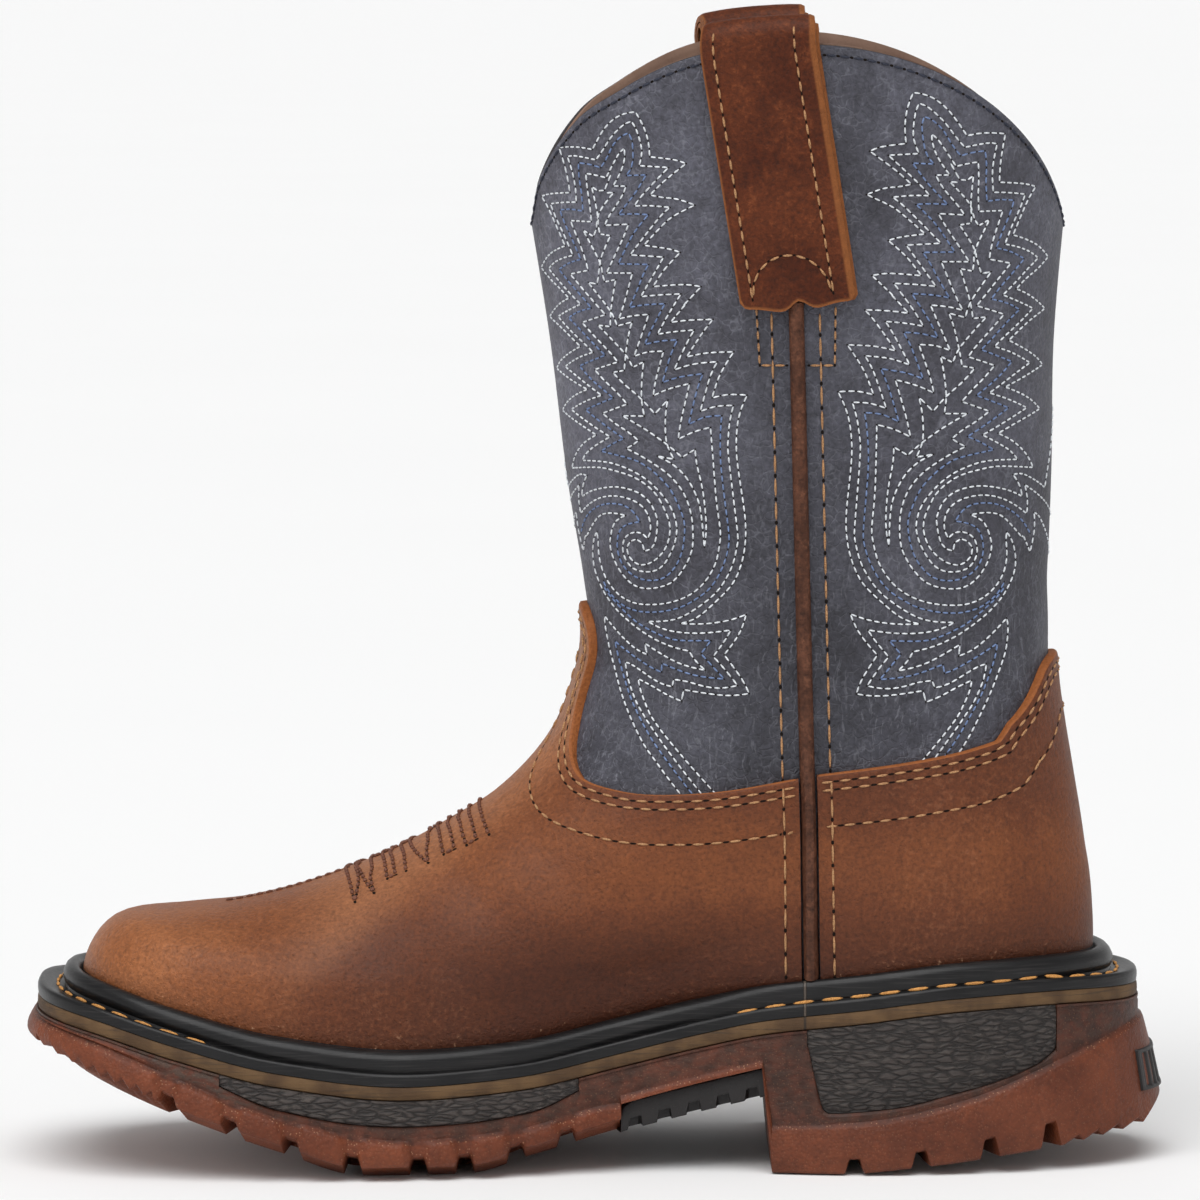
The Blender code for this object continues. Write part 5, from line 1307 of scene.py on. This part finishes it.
def shaft_leather():
    f = Finish("blue_grey_shaft_leather", Coat_Roughness=0.4, Specular_IOR_Level=0.3)
    x, z = f.axis("X"), f.axis("Z")
    wide, patch, fine = f.noise(26), f.noise(6, 5, 0.6), f.noise(1.7, 3, 0.7)
    speck = f.noise(0.8, 2, 0.6)
    bent = f.bent(2.5, 2.4)
    crackle = f.cells(2.1, "DISTANCE_TO_EDGE", bent)
    hair = f.noise(0.6, 3, 0.6, f.stretched(1, 1, 0.07, f.bent(9, 5.0)))
    scuff = f.noise(0.8, 4, 0.7, f.stretched(0.25, 0.25, 1, f.bent(5, 4.0)))
    low = z.between(150, 85)
    colour = f.mix(wide.between(0.35, 0.66), (0.05, 0.049, 0.062), (0.077, 0.077, 0.098))
    colour = f.mix(patch.between(0.48, 0.7) * 0.4, colour, (0.095, 0.096, 0.12))
    colour = f.mix(patch.between(0.44, 0.28) * 0.45, colour, (0.03, 0.029, 0.035))
    line = crackle.between(0.09, 0.01) * patch.between(0.4, 0.62)
    colour = f.mix(line * 0.55, colour, (0.15, 0.152, 0.18))
    colour = f.mix(hair.between(0.57, 0.66) * (0.2 + 0.56 * low), colour, (0.16, 0.162, 0.19))
    colour = f.mix(scuff.between(0.6, 0.74) * 0.4, colour, (0.17, 0.172, 0.2))
    # Lighter towards the front edge as painted sheen; darker round the side seam and towards the bottom.
    side = 1 - 0.24 * x.between(20, 32) * x.between(58, 48) + 0.38 * x.between(10, -8)
    colour = f.shade(colour, side * (1.08 - 0.33 * low) * (1.2 * speck + 1.0 * fine - 0.12))
    edge = f.mark("edge")
    colour = f.mix(edge.between(0.3, 0.9), colour, (0.035, 0.03, 0.032))
    rough = 0.46 + 0.25 * fine + 0.1 * patch
    height = 0.12 * crackle.between(0.0, 0.12) + 0.34 * fine + 0.16 * speck + 0.2 * patch
    return f.use(colour, rough, height, 0.85, 0.14 * wide)


def brown_leather(name, size, dark, light, worn):
    f = Finish(name, Coat_Roughness=0.4, Specular_IOR_Level=0.16)
    wide, patch, fine = f.noise(size), f.noise(size / 4, 5, 0.6), f.noise(1.6, 3, 0.7)
    pores, speck = f.cells(0.8), f.noise(0.8, 2, 0.6)
    colour = f.mix((0.6 * wide + 0.4 * patch).between(0.36, 0.64), dark, light)
    colour = f.mix(fine.between(0.52, 0.72) * patch.between(0.42, 0.62) * 0.25, colour, worn)
    colour = f.shade(colour, 1.1 * speck + 0.9 * fine)
    colour = f.mix(pores.between(0.25, 0.06) * 0.3, colour, (0.03, 0.012, 0.008))
    raw = f.mark("edge")
    colour = f.mix(raw.between(0.3, 0.9), colour, f.mix(fine, (0.3, 0.1, 0.025), (0.14, 0.045, 0.014)))
    height = 0.1 * pores.between(0.0, 0.35) + 0.3 * fine + 0.15 * speck + 0.15 * patch + 0.15 * fine * raw
    return f.use(colour, 0.5 + 0.2 * fine, height, 0.85, 0.15 * wide)


def lining_leather():
    f = Finish("brown_lining", Specular_IOR_Level=0.3)
    wide, fine = f.noise(18), f.noise(0.7, 4, 0.7)
    colour = f.mix(wide.between(0.35, 0.65), (0.15, 0.085, 0.06), (0.23, 0.14, 0.1))
    colour = f.mix(fine.between(0.5, 0.75) * 0.4, colour, (0.09, 0.05, 0.035))
    return f.use(colour, 0.7 + 0.15 * fine, 0.06 * fine, 0.7)


def insole_board():
    f = Finish("insole_cover", Specular_IOR_Level=0.25)
    wide, fine = f.noise(14), f.noise(0.5, 4, 0.7)
    colour = f.mix(wide, (0.1, 0.07, 0.05), (0.17, 0.12, 0.09))
    return f.use(colour, 0.8 + 0.1 * fine, 0.05 * fine, 0.7)


def welt_rubber():
    f = Finish("black_welt", Coat_Roughness=0.15, Specular_IOR_Level=0.22)
    wide, fine, joint = f.noise(9), f.noise(0.6, 3), f.joint()
    line = f.noise(0.32, 2, 0.5, f.stretched(0.03, 0.03, 1))
    colour = f.mix(wide, (0.004, 0.004, 0.0045), (0.009, 0.0085, 0.009))
    colour = f.mix(line.between(0.52, 0.72) * 0.4, colour, (0.035, 0.032, 0.031))
    colour = f.mix(joint * 0.8, colour, (0.09, 0.07, 0.055))
    height = 0.07 * line + 0.03 * fine - 0.4 * joint
    return f.use(colour, 0.34 + 0.2 * fine, height, 0.8, 0.25 * wide)


def midsole_layer():
    f = Finish("olive_brown_midsole", Specular_IOR_Level=0.3)
    wide, fine = f.noise(8), f.noise(0.5, 4, 0.7)
    line = f.noise(0.4, 3, 0.6, f.stretched(0.04, 0.04, 1))
    colour = f.mix(wide.between(0.35, 0.65), (0.068, 0.036, 0.016), (0.125, 0.07, 0.03))
    colour = f.mix(line.between(0.5, 0.7) * 0.55, colour, (0.035, 0.024, 0.016))
    colour = f.mix(fine.between(0.66, 0.78) * 0.6, colour, (0.26, 0.18, 0.1))
    colour = f.mix(f.joint() * 0.8, colour, (0.02, 0.015, 0.012))
    return f.use(colour, 0.62 + 0.2 * fine, 0.14 * line + 0.07 * fine, 0.85)


def brown_rubber():
    f = Finish("red_brown_rubber", Specular_IOR_Level=0.28, Coat_Roughness=0.35)
    lug = f.mark("lug")
    wide, patch, fine = f.noise(16), f.noise(3, 4), f.noise(0.9, 3, 0.7)
    stipple = f.cells(0.62)
    wrinkle = f.noise(0.9, 4, 0.65, f.stretched(0.35, 0.35, 1, f.bent(4, 3.0)))
    face = f.mix(wide.between(0.35, 0.65), (0.116, 0.0265, 0.009), (0.162, 0.0395, 0.0138))
    wall = f.mix(patch.between(0.35, 0.65), (0.046, 0.0135, 0.0065), (0.088, 0.0235, 0.011))
    # Lug faces take the face colour and the wall the darker one; the lowered marks in the valleys give
    # painted shade.
    colour = f.mix(lug.between(0.2, 0.75), wall, face)
    x = f.axis("X")
    colour = f.shade(colour, (1 - 0.2 * x.between(24, 34)) * (0.2 + 0.9 * fine + 0.7 * patch))
    grime = lug.between(0.3, 0.05) * (0.25 + 0.5 * x.between(-58, -74)) * wrinkle.between(0.35, 0.6)
    colour = f.mix(grime, colour, (0.062, 0.044, 0.033))
    # Faint light stipple flecks everywhere, and strong ones on the lugs' upper bevel as a painted highlight.
    bevel = lug.between(0.3, 0.45) * lug.between(0.95, 0.7)
    colour = f.mix(stipple.between(0.3, 0.08) * (0.18 + 0.62 * bevel), colour, (0.36, 0.18, 0.1))
    height = 0.16 * stipple * (0.4 + 0.6 * lug) + 0.3 * wrinkle * (1 - lug) + 0.12 * fine + 0.08 * patch
    return f.use(colour, 0.46 + 0.2 * patch, height, 0.9, 0.12 * wide)


def dark_rubber():
    f = Finish("bark_grey_rubber", Specular_IOR_Level=0.33)
    bent = f.bent(3, 0.9)
    bark = f.cells(0.62, "DISTANCE_TO_EDGE", f.stretched(0.19, 0.26, 0.66, bent))
    wave = f.noise(0.8, 4, 0.65, f.stretched(0.2, 0.3, 1, bent))
    fine = f.noise(0.4, 3, 0.7)
    colour = f.mix(bark.between(0.02, 0.22), (0.015, 0.012, 0.011), (0.048, 0.0385, 0.035))
    colour = f.mix(wave.between(0.5, 0.7) * 0.5, colour, (0.105, 0.088, 0.077))
    # Inserts painted lighter at the forefoot and darker at the heel, standing in for how the light falls on
    # them.
    colour = f.shade(colour, (0.7 + 0.6 * fine) * (1.1 - 0.2 * f.axis("X").between(0, 35)))
    height = 0.42 * bark.between(0, 0.3) + 0.4 * wave + 0.08 * fine
    return f.use(colour, 0.5 + 0.2 * fine, height, 0.95)


def black_rubber():
    f = Finish("black_shank_rubber", Specular_IOR_Level=0.36)
    wide, fine = f.noise(6), f.noise(0.6, 4, 0.7)
    colour = f.mix(wide, (0.009, 0.008, 0.008), (0.022, 0.019, 0.019))
    colour = f.mix(fine.between(0.58, 0.76) * 0.35, colour, (0.085, 0.072, 0.068))
    return f.use(colour, 0.42 + 0.25 * fine, 0.1 * fine, 0.8)


def thread(name, dark, light, shine=0.35):
    f = Finish(name, Specular_IOR_Level=shine)
    ply, fine = f.noise(0.22, 3, 0.6), f.noise(4)
    colour = f.mix(ply.between(0.35, 0.6), dark, light)
    colour = f.shade(colour, 0.75 + 0.5 * fine)
    return f.use(colour, 0.55 + 0.2 * ply, 0.1 * ply, 0.7)


def studio_floor():
    f = Finish("pale_floor", Specular_IOR_Level=0.2)
    soft = f.noise(400, 2)
    colour = f.mix(soft, (0.92, 0.92, 0.92), (0.93, 0.93, 0.93))
    return f.use(colour, 0.75 + 0.1 * soft)


TAN = tan_leather()
SHAFT = shaft_leather()
STRAP = brown_leather(
    "red_brown_strap_leather", 22, (0.058, 0.0112, 0.0024), (0.1, 0.022, 0.005), (0.2, 0.066, 0.024)
)
BACKING = brown_leather(
    "grey_brown_backing", 9, (0.055, 0.033, 0.026), (0.1, 0.062, 0.047), (0.2, 0.14, 0.11)
)
TRIM = brown_leather(
    "brown_piping_leather", 8, (0.055, 0.0205, 0.0112), (0.105, 0.0395, 0.021), (0.19, 0.088, 0.05)
)
LINING = lining_leather()
INSOLE = insole_board()
WELT = welt_rubber()
MIDSOLE = midsole_layer()
RUBBER = brown_rubber()
BARK = dark_rubber()
SHANK = black_rubber()
THREADS = {
    "white": thread("white_thread", (0.52, 0.55, 0.59), (0.84, 0.87, 0.9)),
    "blue": thread("light_blue_thread", (0.1, 0.155, 0.31), (0.2, 0.28, 0.48)),
    "tan": thread("tan_thread", (0.24, 0.108, 0.045), (0.48, 0.265, 0.122)),
    "gold": thread("gold_thread", (0.36, 0.15, 0.035), (0.66, 0.32, 0.09)),
    "navy": thread("navy_thread", (0.012, 0.014, 0.024), (0.03, 0.034, 0.055)),
    "brown": thread("dark_brown_thread", (0.07, 0.024, 0.014), (0.2, 0.075, 0.043)),
}
HOLE_SHADOW_FINISH = thread("needle_hole_shadow", (0.008, 0.006, 0.005), (0.014, 0.01, 0.008), 0.04)


# The upper's pieces

INSOLE_MATERIALS = bpy.data.objects["insole"].data.materials
INSOLE_MATERIALS.clear()
INSOLE_MATERIALS.append(INSOLE)
SHAFT_ROWS = np.concatenate([
    np.linspace(0, 5, 6), np.linspace(5.15, COLLAR - 0.12, 76), [COLLAR - 0.06, COLLAR - 0.025],
])
LINING_ROWS = np.linspace(0, COLLAR - 0.05, 40)
ON_SHAFT = make_shell("shaft_leather_shell", 0.0, -SHAFT_WALL, SHAFT_ROWS, 0.012, SHAFT, "shaft_leather",
                      "upper")
make_shell("shaft_lining", -SHAFT_WALL - 0.02, -UPPER_WALL, LINING_ROWS, 0.0, LINING, "insole_board")
ON_VAMP, VAMP_FACE = make_panel("vamp_leather", VAMP_EDGE, TONGUE_EDGE, True, TAN, "tan_leather", "vamp")
ON_COUNTER, COUNTER_FACE = make_panel("counter_leather", COUNTER_EDGE, HEEL_TAB_EDGE, False, TAN,
                                      "tan_leather", "counter")
ON_STRAP = {}
for inner, side in ((True, "medial"), (False, "lateral")):
    make_piping(f"side_piping_{side}", inner, TRIM, "trim_leather", f"piping_{side}")
    make_strap(f"strap_{side}_backing", inner, *STRAP_INNER_LAYER, BACKING, "trim_leather")
    ON_STRAP[inner] = make_strap(f"strap_{side}_leather", inner, *STRAP_OUTER_LAYER, STRAP, "strap_leather",
                                 f"pull_strap_{side}")

# The sole's pieces

ON_WELT = make_welt(WELT, "welt_black")
make_midsole(MIDSOLE, "midsole_brown")
make_outsole(RUBBER, "brown_rubber")
for way, side in ((1, "medial"), (-1, "lateral")):
    make_insert(f"forefoot_panel_{side}", False, way, BARK, "dark_rubber", f"forefoot_insert_{side}")
    make_insert(f"heel_panel_{side}", True, way, BARK, "dark_rubber", f"heel_insert_{side}")
make_shank(SHANK, "dark_rubber")
make_heel_plate(SHANK, "dark_rubber")


# Stitching


class Seams:
    """Stitches of one thread, made a few at a time and joined into one piece."""

    BATCH = 12

    def __init__(self):
        self.parts = []
        self.made = 0

    def lens(self, place, run, normal, long, wide, tall, segments):
        if self.made % self.BATCH == 0:
            self.parts.append(bmesh.new())
        self.made += 1
        axes = Matrix((normal.cross(run) * wide / 2, normal * tall / 2, run * long / 2)).transposed().to_4x4()
        laid = Matrix.Translation(place) @ axes
        bmesh.ops.create_uvsphere(self.parts[-1], u_segments=6, v_segments=segments, radius=1.0, matrix=laid)

    def joined(self, parts):
        whole = bmesh.new()
        for part in parts:
            mesh = bpy.data.meshes.new("row")
            part.to_mesh(mesh)
            part.free()
            whole.from_mesh(mesh)
            bpy.data.meshes.remove(mesh)
        return whole

    def finish(self, name, material, slot):
        while len(self.parts) > 1:
            groups = [self.parts[i:i + self.BATCH] for i in range(0, len(self.parts), self.BATCH)]
            self.parts = [self.joined(group) for group in groups]
        piece(name, self.parts[0], material, slot, crisp=80)


SEWN = {name: Seams() for name in THREADS}
HOLE_SHADOWS = Seams()


def runs_of(points, bend):
    """A line cut where it turns sharply."""
    step = np.diff(points, axis=0)
    step = step / np.maximum(np.linalg.norm(step, axis=1, keepdims=True), 1e-9)
    turns = np.where(np.sum(step[:-1] * step[1:], axis=1) < math.cos(math.radians(bend)))[0] + 1
    marks = [0, *turns, len(points) - 1]
    return [points[a:b + 1] for a, b in zip(marks, marks[1:])]


def even_nodes(points, pitch):
    far = np.concatenate([[0], np.cumsum(np.linalg.norm(np.diff(points, axis=0), axis=1))])
    count = max(1, round(far[-1] / pitch))
    at = np.linspace(0, far[-1], count + 1)
    return np.stack([np.interp(at, far, points[:, k]) for k in range(3)], axis=1)


def sew(colour, tree, points, sewing, sink=0.3):
    """A row of stitches along a line, set on a piece, with painted shadows of needle holes between them."""
    if len(points) < 2:
        return
    pitch, dash, wide, hole, bend = sewing
    for run in runs_of(np.asarray(points, float), bend):
        seated = [tree.find_nearest(Vector(node)) for node in even_nodes(run, pitch)]
        for a, b in zip(seated, seated[1:]):
            step = b[0] - a[0]
            if step.length < 0.2 * pitch:
                continue
            normal = (a[1] + b[1]).normalized()
            along = (step - normal * step.dot(normal)).normalized()
            place = (a[0] + b[0]) / 2 + normal * wide * (0.5 - sink)
            SEWN[colour].lens(place, along, normal, step.length * dash, wide, wide, 4)
            gap = max(hole * 1.2, step.length * (1 - dash) * 1.1)
            # A flat dark patch at each needle hole is a painted shadow.
            HOLE_SHADOWS.lens(b[0], along, normal, gap, hole, 0.1, 3)


def face_place(x, z, inner, out):
    """Angle and section of the upper's point whose face, moved out, shows at x and z in the side view."""
    at_x, at_z = np.array(x, float), np.array(z, float)
    for _ in range(6):
        theta, t = side_place(at_x, at_z, inner)
        seen = upper_skin(theta, t, out)
        at_x, at_z = at_x + 0.8 * (x - seen[..., 0]), at_z + 0.8 * (z - seen[..., 2])
    return theta, t


def edge_row(tree, face, inset):
    """A line inside a panel's upper edge, rounded off where it would come closer to the edge."""
    edge, inside = face[:, -1], face[:, -12]
    keep = moved_on(edge, 0.05)
    edge, inside = edge[keep], inside[keep]
    run = unit(np.gradient(edge, axis=0))
    line = []
    for point, step, towards in zip(edge, run, inside - edge):
        facing = np.array(upper_facing(point))
        across = np.cross(facing, step)
        across *= math.copysign(inset / np.linalg.norm(across), np.dot(across, towards))
        line.append(np.array(tree.find_nearest(Vector(point + across + 3.0 * facing))[0]))
    line = np.array(line)
    line = line[np.min(np.linalg.norm(line[:, None] - edge[None], axis=2), axis=1) > 0.86 * inset]
    jumps = np.where(np.linalg.norm(np.diff(line, axis=0), axis=1) > 3.0)[0]
    part = np.linspace(0, 1, 12)[1:-1, None]
    for k in jumps[::-1]:
        p, q = line[k], line[k + 1]
        ahead, behind = line[k] - line[max(k - 3, 0)], line[min(k + 4, len(line) - 1)] - line[k + 1]
        reach = np.linalg.norm(q - p)
        ahead, behind = [way * reach / max(np.linalg.norm(way), 1e-6) for way in (ahead, behind)]
        arc = (2 * part**3 - 3 * part**2 + 1) * p + (part**3 - 2 * part**2 + part) * ahead
        arc = arc + (3 * part**2 - 2 * part**3) * q + (part**3 - part**2) * behind
        line = np.concatenate([line[:k + 1], arc, line[k + 1:]])
    return line


def upper_facing(point):
    """The shaft's outward direction next to a point."""
    return ON_SHAFT.find_nearest(Vector(point))[1]


def half_panel(inner, front):
    """Heights on one half of a shaft panel, with distances from the side seam and the angles there."""
    heights = np.arange(*FLAME_HEIGHTS, FLAME_HEIGHT_STEP)
    part = np.linspace(0, 1, 90)
    end = math.pi if front else 0.0
    way = 1 if inner else -1
    seam = np.abs(side_place(seam_x(heights), heights, inner)[0])
    theta = way * (seam[:, None] + (end - seam[:, None]) * part[None, :])
    t = section_at_height(theta, np.broadcast_to(heights[:, None], theta.shape))
    points = upper_point(theta, t)
    step = np.linalg.norm(np.diff(points, axis=1), axis=2)
    far = np.concatenate([np.zeros((len(heights), 1)), np.cumsum(step, axis=1)], axis=1)
    return heights, far, theta


def flame_line(chart, panel, front):
    """A flame row laid from its chart onto half a panel, as far as the panel's middle."""
    heights, far, theta = panel
    u, z = chart[:, 0].copy(), chart[:, 1].copy()
    if front:
        u = u + np.interp(z, FRONT_LEAN_Z, FRONT_LEAN)
        z = z - np.interp(z, FRONT_LEAN_Z, FRONT_DROP)
    short = u <= np.interp(z, heights, far[:, -1])
    u, z = u[short], z[short]
    row = np.clip((z - heights[0]) / FLAME_HEIGHT_STEP, 0, len(heights) - 1.001)
    low = row.astype(int)
    angles = []
    for distance, k, part in zip(u, low, row - low):
        near = np.interp(distance, far[k], theta[k])
        angles.append(near + part * (np.interp(distance, far[k + 1], theta[k + 1]) - near))
    angles = np.array(angles)
    return upper_skin(angles, section_at_height(angles, z), 0.3)


def sew_flames():
    for inner in (True, False):
        for front in (True, False):
            panel = half_panel(inner, front)
            for colour, rows in FLAME_ROWS:
                chart = np.asarray(rows, float)
                flat = np.concatenate([chart, np.zeros((len(chart), 1))], axis=1)
                line = np.concatenate([smooth_run(run, 4) for run in runs_of(flat, FLAME_SEWING[-1])])
                line = without_repeats(line[:, :2])
                sew(colour, ON_SHAFT, flame_line(line, panel, front), FLAME_SEWING)


def sew_panels():
    for tree, face in ((ON_VAMP, VAMP_FACE), (ON_COUNTER, COUNTER_FACE)):
        for inset in PANEL_INSETS:
            sew("tan", tree, edge_row(tree, face, inset), PANEL_SEWING)


def sew_side_seams():
    for inner in (True, False):
        for tree, (shift, top) in zip((ON_VAMP, ON_COUNTER), SEAM_ROWS):
            high = np.linspace(SEAM_ROW_RUN[0], top + 0.3, 40)
            low = np.linspace(top - 0.2, SEAM_ROW_RUN[1], 30)
            for z, base, out in ((high, ON_SHAFT, 0.4), (low, tree, 2.2)):
                place = side_place(seam_x(z) + shift, z, inner)
                sew("tan", base, upper_skin(*place, out), SEAM_SEWING)


def strap_line(a, down, inner):
    """Points over a strap's face, at places across it and down from the collar."""
    top = strap_top(a, inner)[1]
    points = upper_skin(*strap_place(top, np.maximum(down, 0.1), inner), 3.0)
    points[:, 2] += np.maximum(-down, 0)
    return points


def sew_straps():
    for inner in (True, False):
        for a in STRAP_ROWS:
            down = np.linspace(*STRAP_ROW_RUN, 44)
            sew("tan", ON_STRAP[inner], strap_line(np.full(down.shape, a), down, inner), STRAP_SEWING)
        turn = np.linspace(math.pi, 0, 26)
        across = STRAP_BOW_MIDDLE[0] + STRAP_BOW_RADIUS * np.cos(turn)
        down = STRAP_BOW_MIDDLE[1] - STRAP_BOW_RADIUS * np.sin(turn)
        sew("tan", ON_STRAP[inner], strap_line(across, down, inner), STRAP_BOW_SEWING)
        for rows in STRAP_FOOT_ROWS:
            line = filled(rows, 8)
            place = side_place(line[:, 0], line[:, 1], inner)
            sew("tan", ON_SHAFT, upper_skin(*place, 0.4), STRAP_FOOT_SEWING)


def sew_collar():
    theta = np.linspace(0, 2 * math.pi, 400)
    sew("navy", ON_SHAFT, upper_skin(theta, COLLAR - COLLAR_ROW, 0.2), COLLAR_SEWING)


def sew_toe():
    for inner in (True, False):
        for rows in TOE_STITCHES:
            line = filled(rows, 6)
            place = face_place(line[:, 0], line[:, 1], inner, OVERLAY_OUT)
            sew("brown", ON_VAMP, upper_skin(*place, OVERLAY_OUT), TOE_SEWING)
    ridge = upper_skin(math.pi, np.linspace(3.0, 7.0, 400), OVERLAY_OUT)
    sew("brown", ON_VAMP, ridge[within(ridge[:, 0], TOE_RIDGE_RUN)], RIDGE_SEWING)


def sew_welt():
    theta = full_turn(1440)
    _, _, ridge, _, out, reach = welt_frame(theta)
    tuck = np.interp(ridge[:, 0], WELT_TUCK_X, (0, 1, 1, 0))
    line = ridge + out * (np.minimum(WELT_ROW_OUT, reach - WELT_ROW_EDGE) - 0.5 * tuck)[:, None]
    line = on_seat(line, WELT_TOP + 0.3 - 0.4 * tuck)
    for way, part in ((-1, line[line[:, 0] < WELT_HIDDEN[0]]), (1, line[line[:, 0] > WELT_HIDDEN[1]])):
        order = np.argsort(np.arctan2(part[:, 1], way * (part[:, 0] - WELT_ROW_MIDDLE)))
        sew("gold", ON_WELT, part[order], WELT_SEWING, 0.4)


sew_flames()
sew_panels()
sew_side_seams()
sew_straps()
sew_collar()
sew_toe()
sew_welt()
THREAD_SLOTS = {"white": "shaft_leather", "blue": "shaft_leather", "tan": "tan_leather", "gold": "welt_black",
                "navy": "shaft_leather", "brown": "tan_leather"}
for name, seams in SEWN.items():
    seams.finish(f"stitches_{name}", THREADS[name], THREAD_SLOTS[name])
HOLE_SHADOWS.finish("needle_hole_shadows", HOLE_SHADOW_FINISH, "shaft_leather")


# Stage


def make_floor():
    bm = bmesh.new()
    bmesh.ops.create_grid(bm, x_segments=40, y_segments=40, size=FLOOR_HALF)
    mesh = bpy.data.meshes.new("studio_floor")
    bm.to_mesh(mesh)
    bm.free()
    mesh.materials.append(studio_floor())
    floor = add_object("studio_floor", mesh)


def aim(obj, direction):
    obj.rotation_euler = direction.to_track_quat("-Z", "Y").to_euler()


def make_softbox():
    data = bpy.data.lights.new("front_softbox", "AREA")
    data.shape = "DISK"
    data.size = SOFTBOX_SIZE
    data.energy = SOFTBOX_POWER
    light = add_object("front_softbox", data)
    light.location = SOFTBOX_PLACE
    aim(light, Vector(SOFTBOX_TARGET) - Vector(SOFTBOX_PLACE))


def make_sun():
    data = bpy.data.lights.new("overhead_light", "SUN")
    data.angle = SUN_BREADTH
    data.energy = SUN_STRENGTH
    aim(add_object("overhead_light", data), Vector(SUN_AIM))


def make_world():
    """Light from all round, brighter near the horizon."""
    world = bpy.data.worlds.new("studio")
    world.use_nodes = True
    tree = world.node_tree
    towards = tree.nodes.new("ShaderNodeTexCoord")
    parts = tree.nodes.new("ShaderNodeSeparateXYZ")
    height = tree.nodes.new("ShaderNodeMapRange")
    limits = {"From Min": 0.02, "From Max": 0.5, "To Min": HORIZON_LIGHT, "To Max": OVERHEAD_LIGHT}
    for name, value in limits.items():
        height.inputs[name].default_value = value
    tree.links.new(towards.outputs["Generated"], parts.inputs[0])
    tree.links.new(parts.outputs["Z"], height.inputs["Value"])
    tree.links.new(height.outputs["Result"], tree.nodes["Background"].inputs["Strength"])
    tree.nodes["Background"].inputs["Color"].default_value = (1, 1, 1, 1)
    bpy.context.scene.world = world


def make_camera():
    data = bpy.data.cameras.new("photo_camera")
    data.sensor_width = SENSOR
    data.lens = SENSOR * FOCAL_PIXELS / PICTURE_PIXELS
    data.clip_end = CLIP_FAR
    camera = add_object("photo_camera", data)
    camera.location = CAMERA_PLACE
    aim(camera, Vector(CAMERA_TARGET) - Vector(CAMERA_PLACE))
    bpy.context.scene.camera = camera


make_floor()
make_world()
make_sun()
make_softbox()
make_camera()

bpy.context.scene.view_settings.view_transform = "Standard"
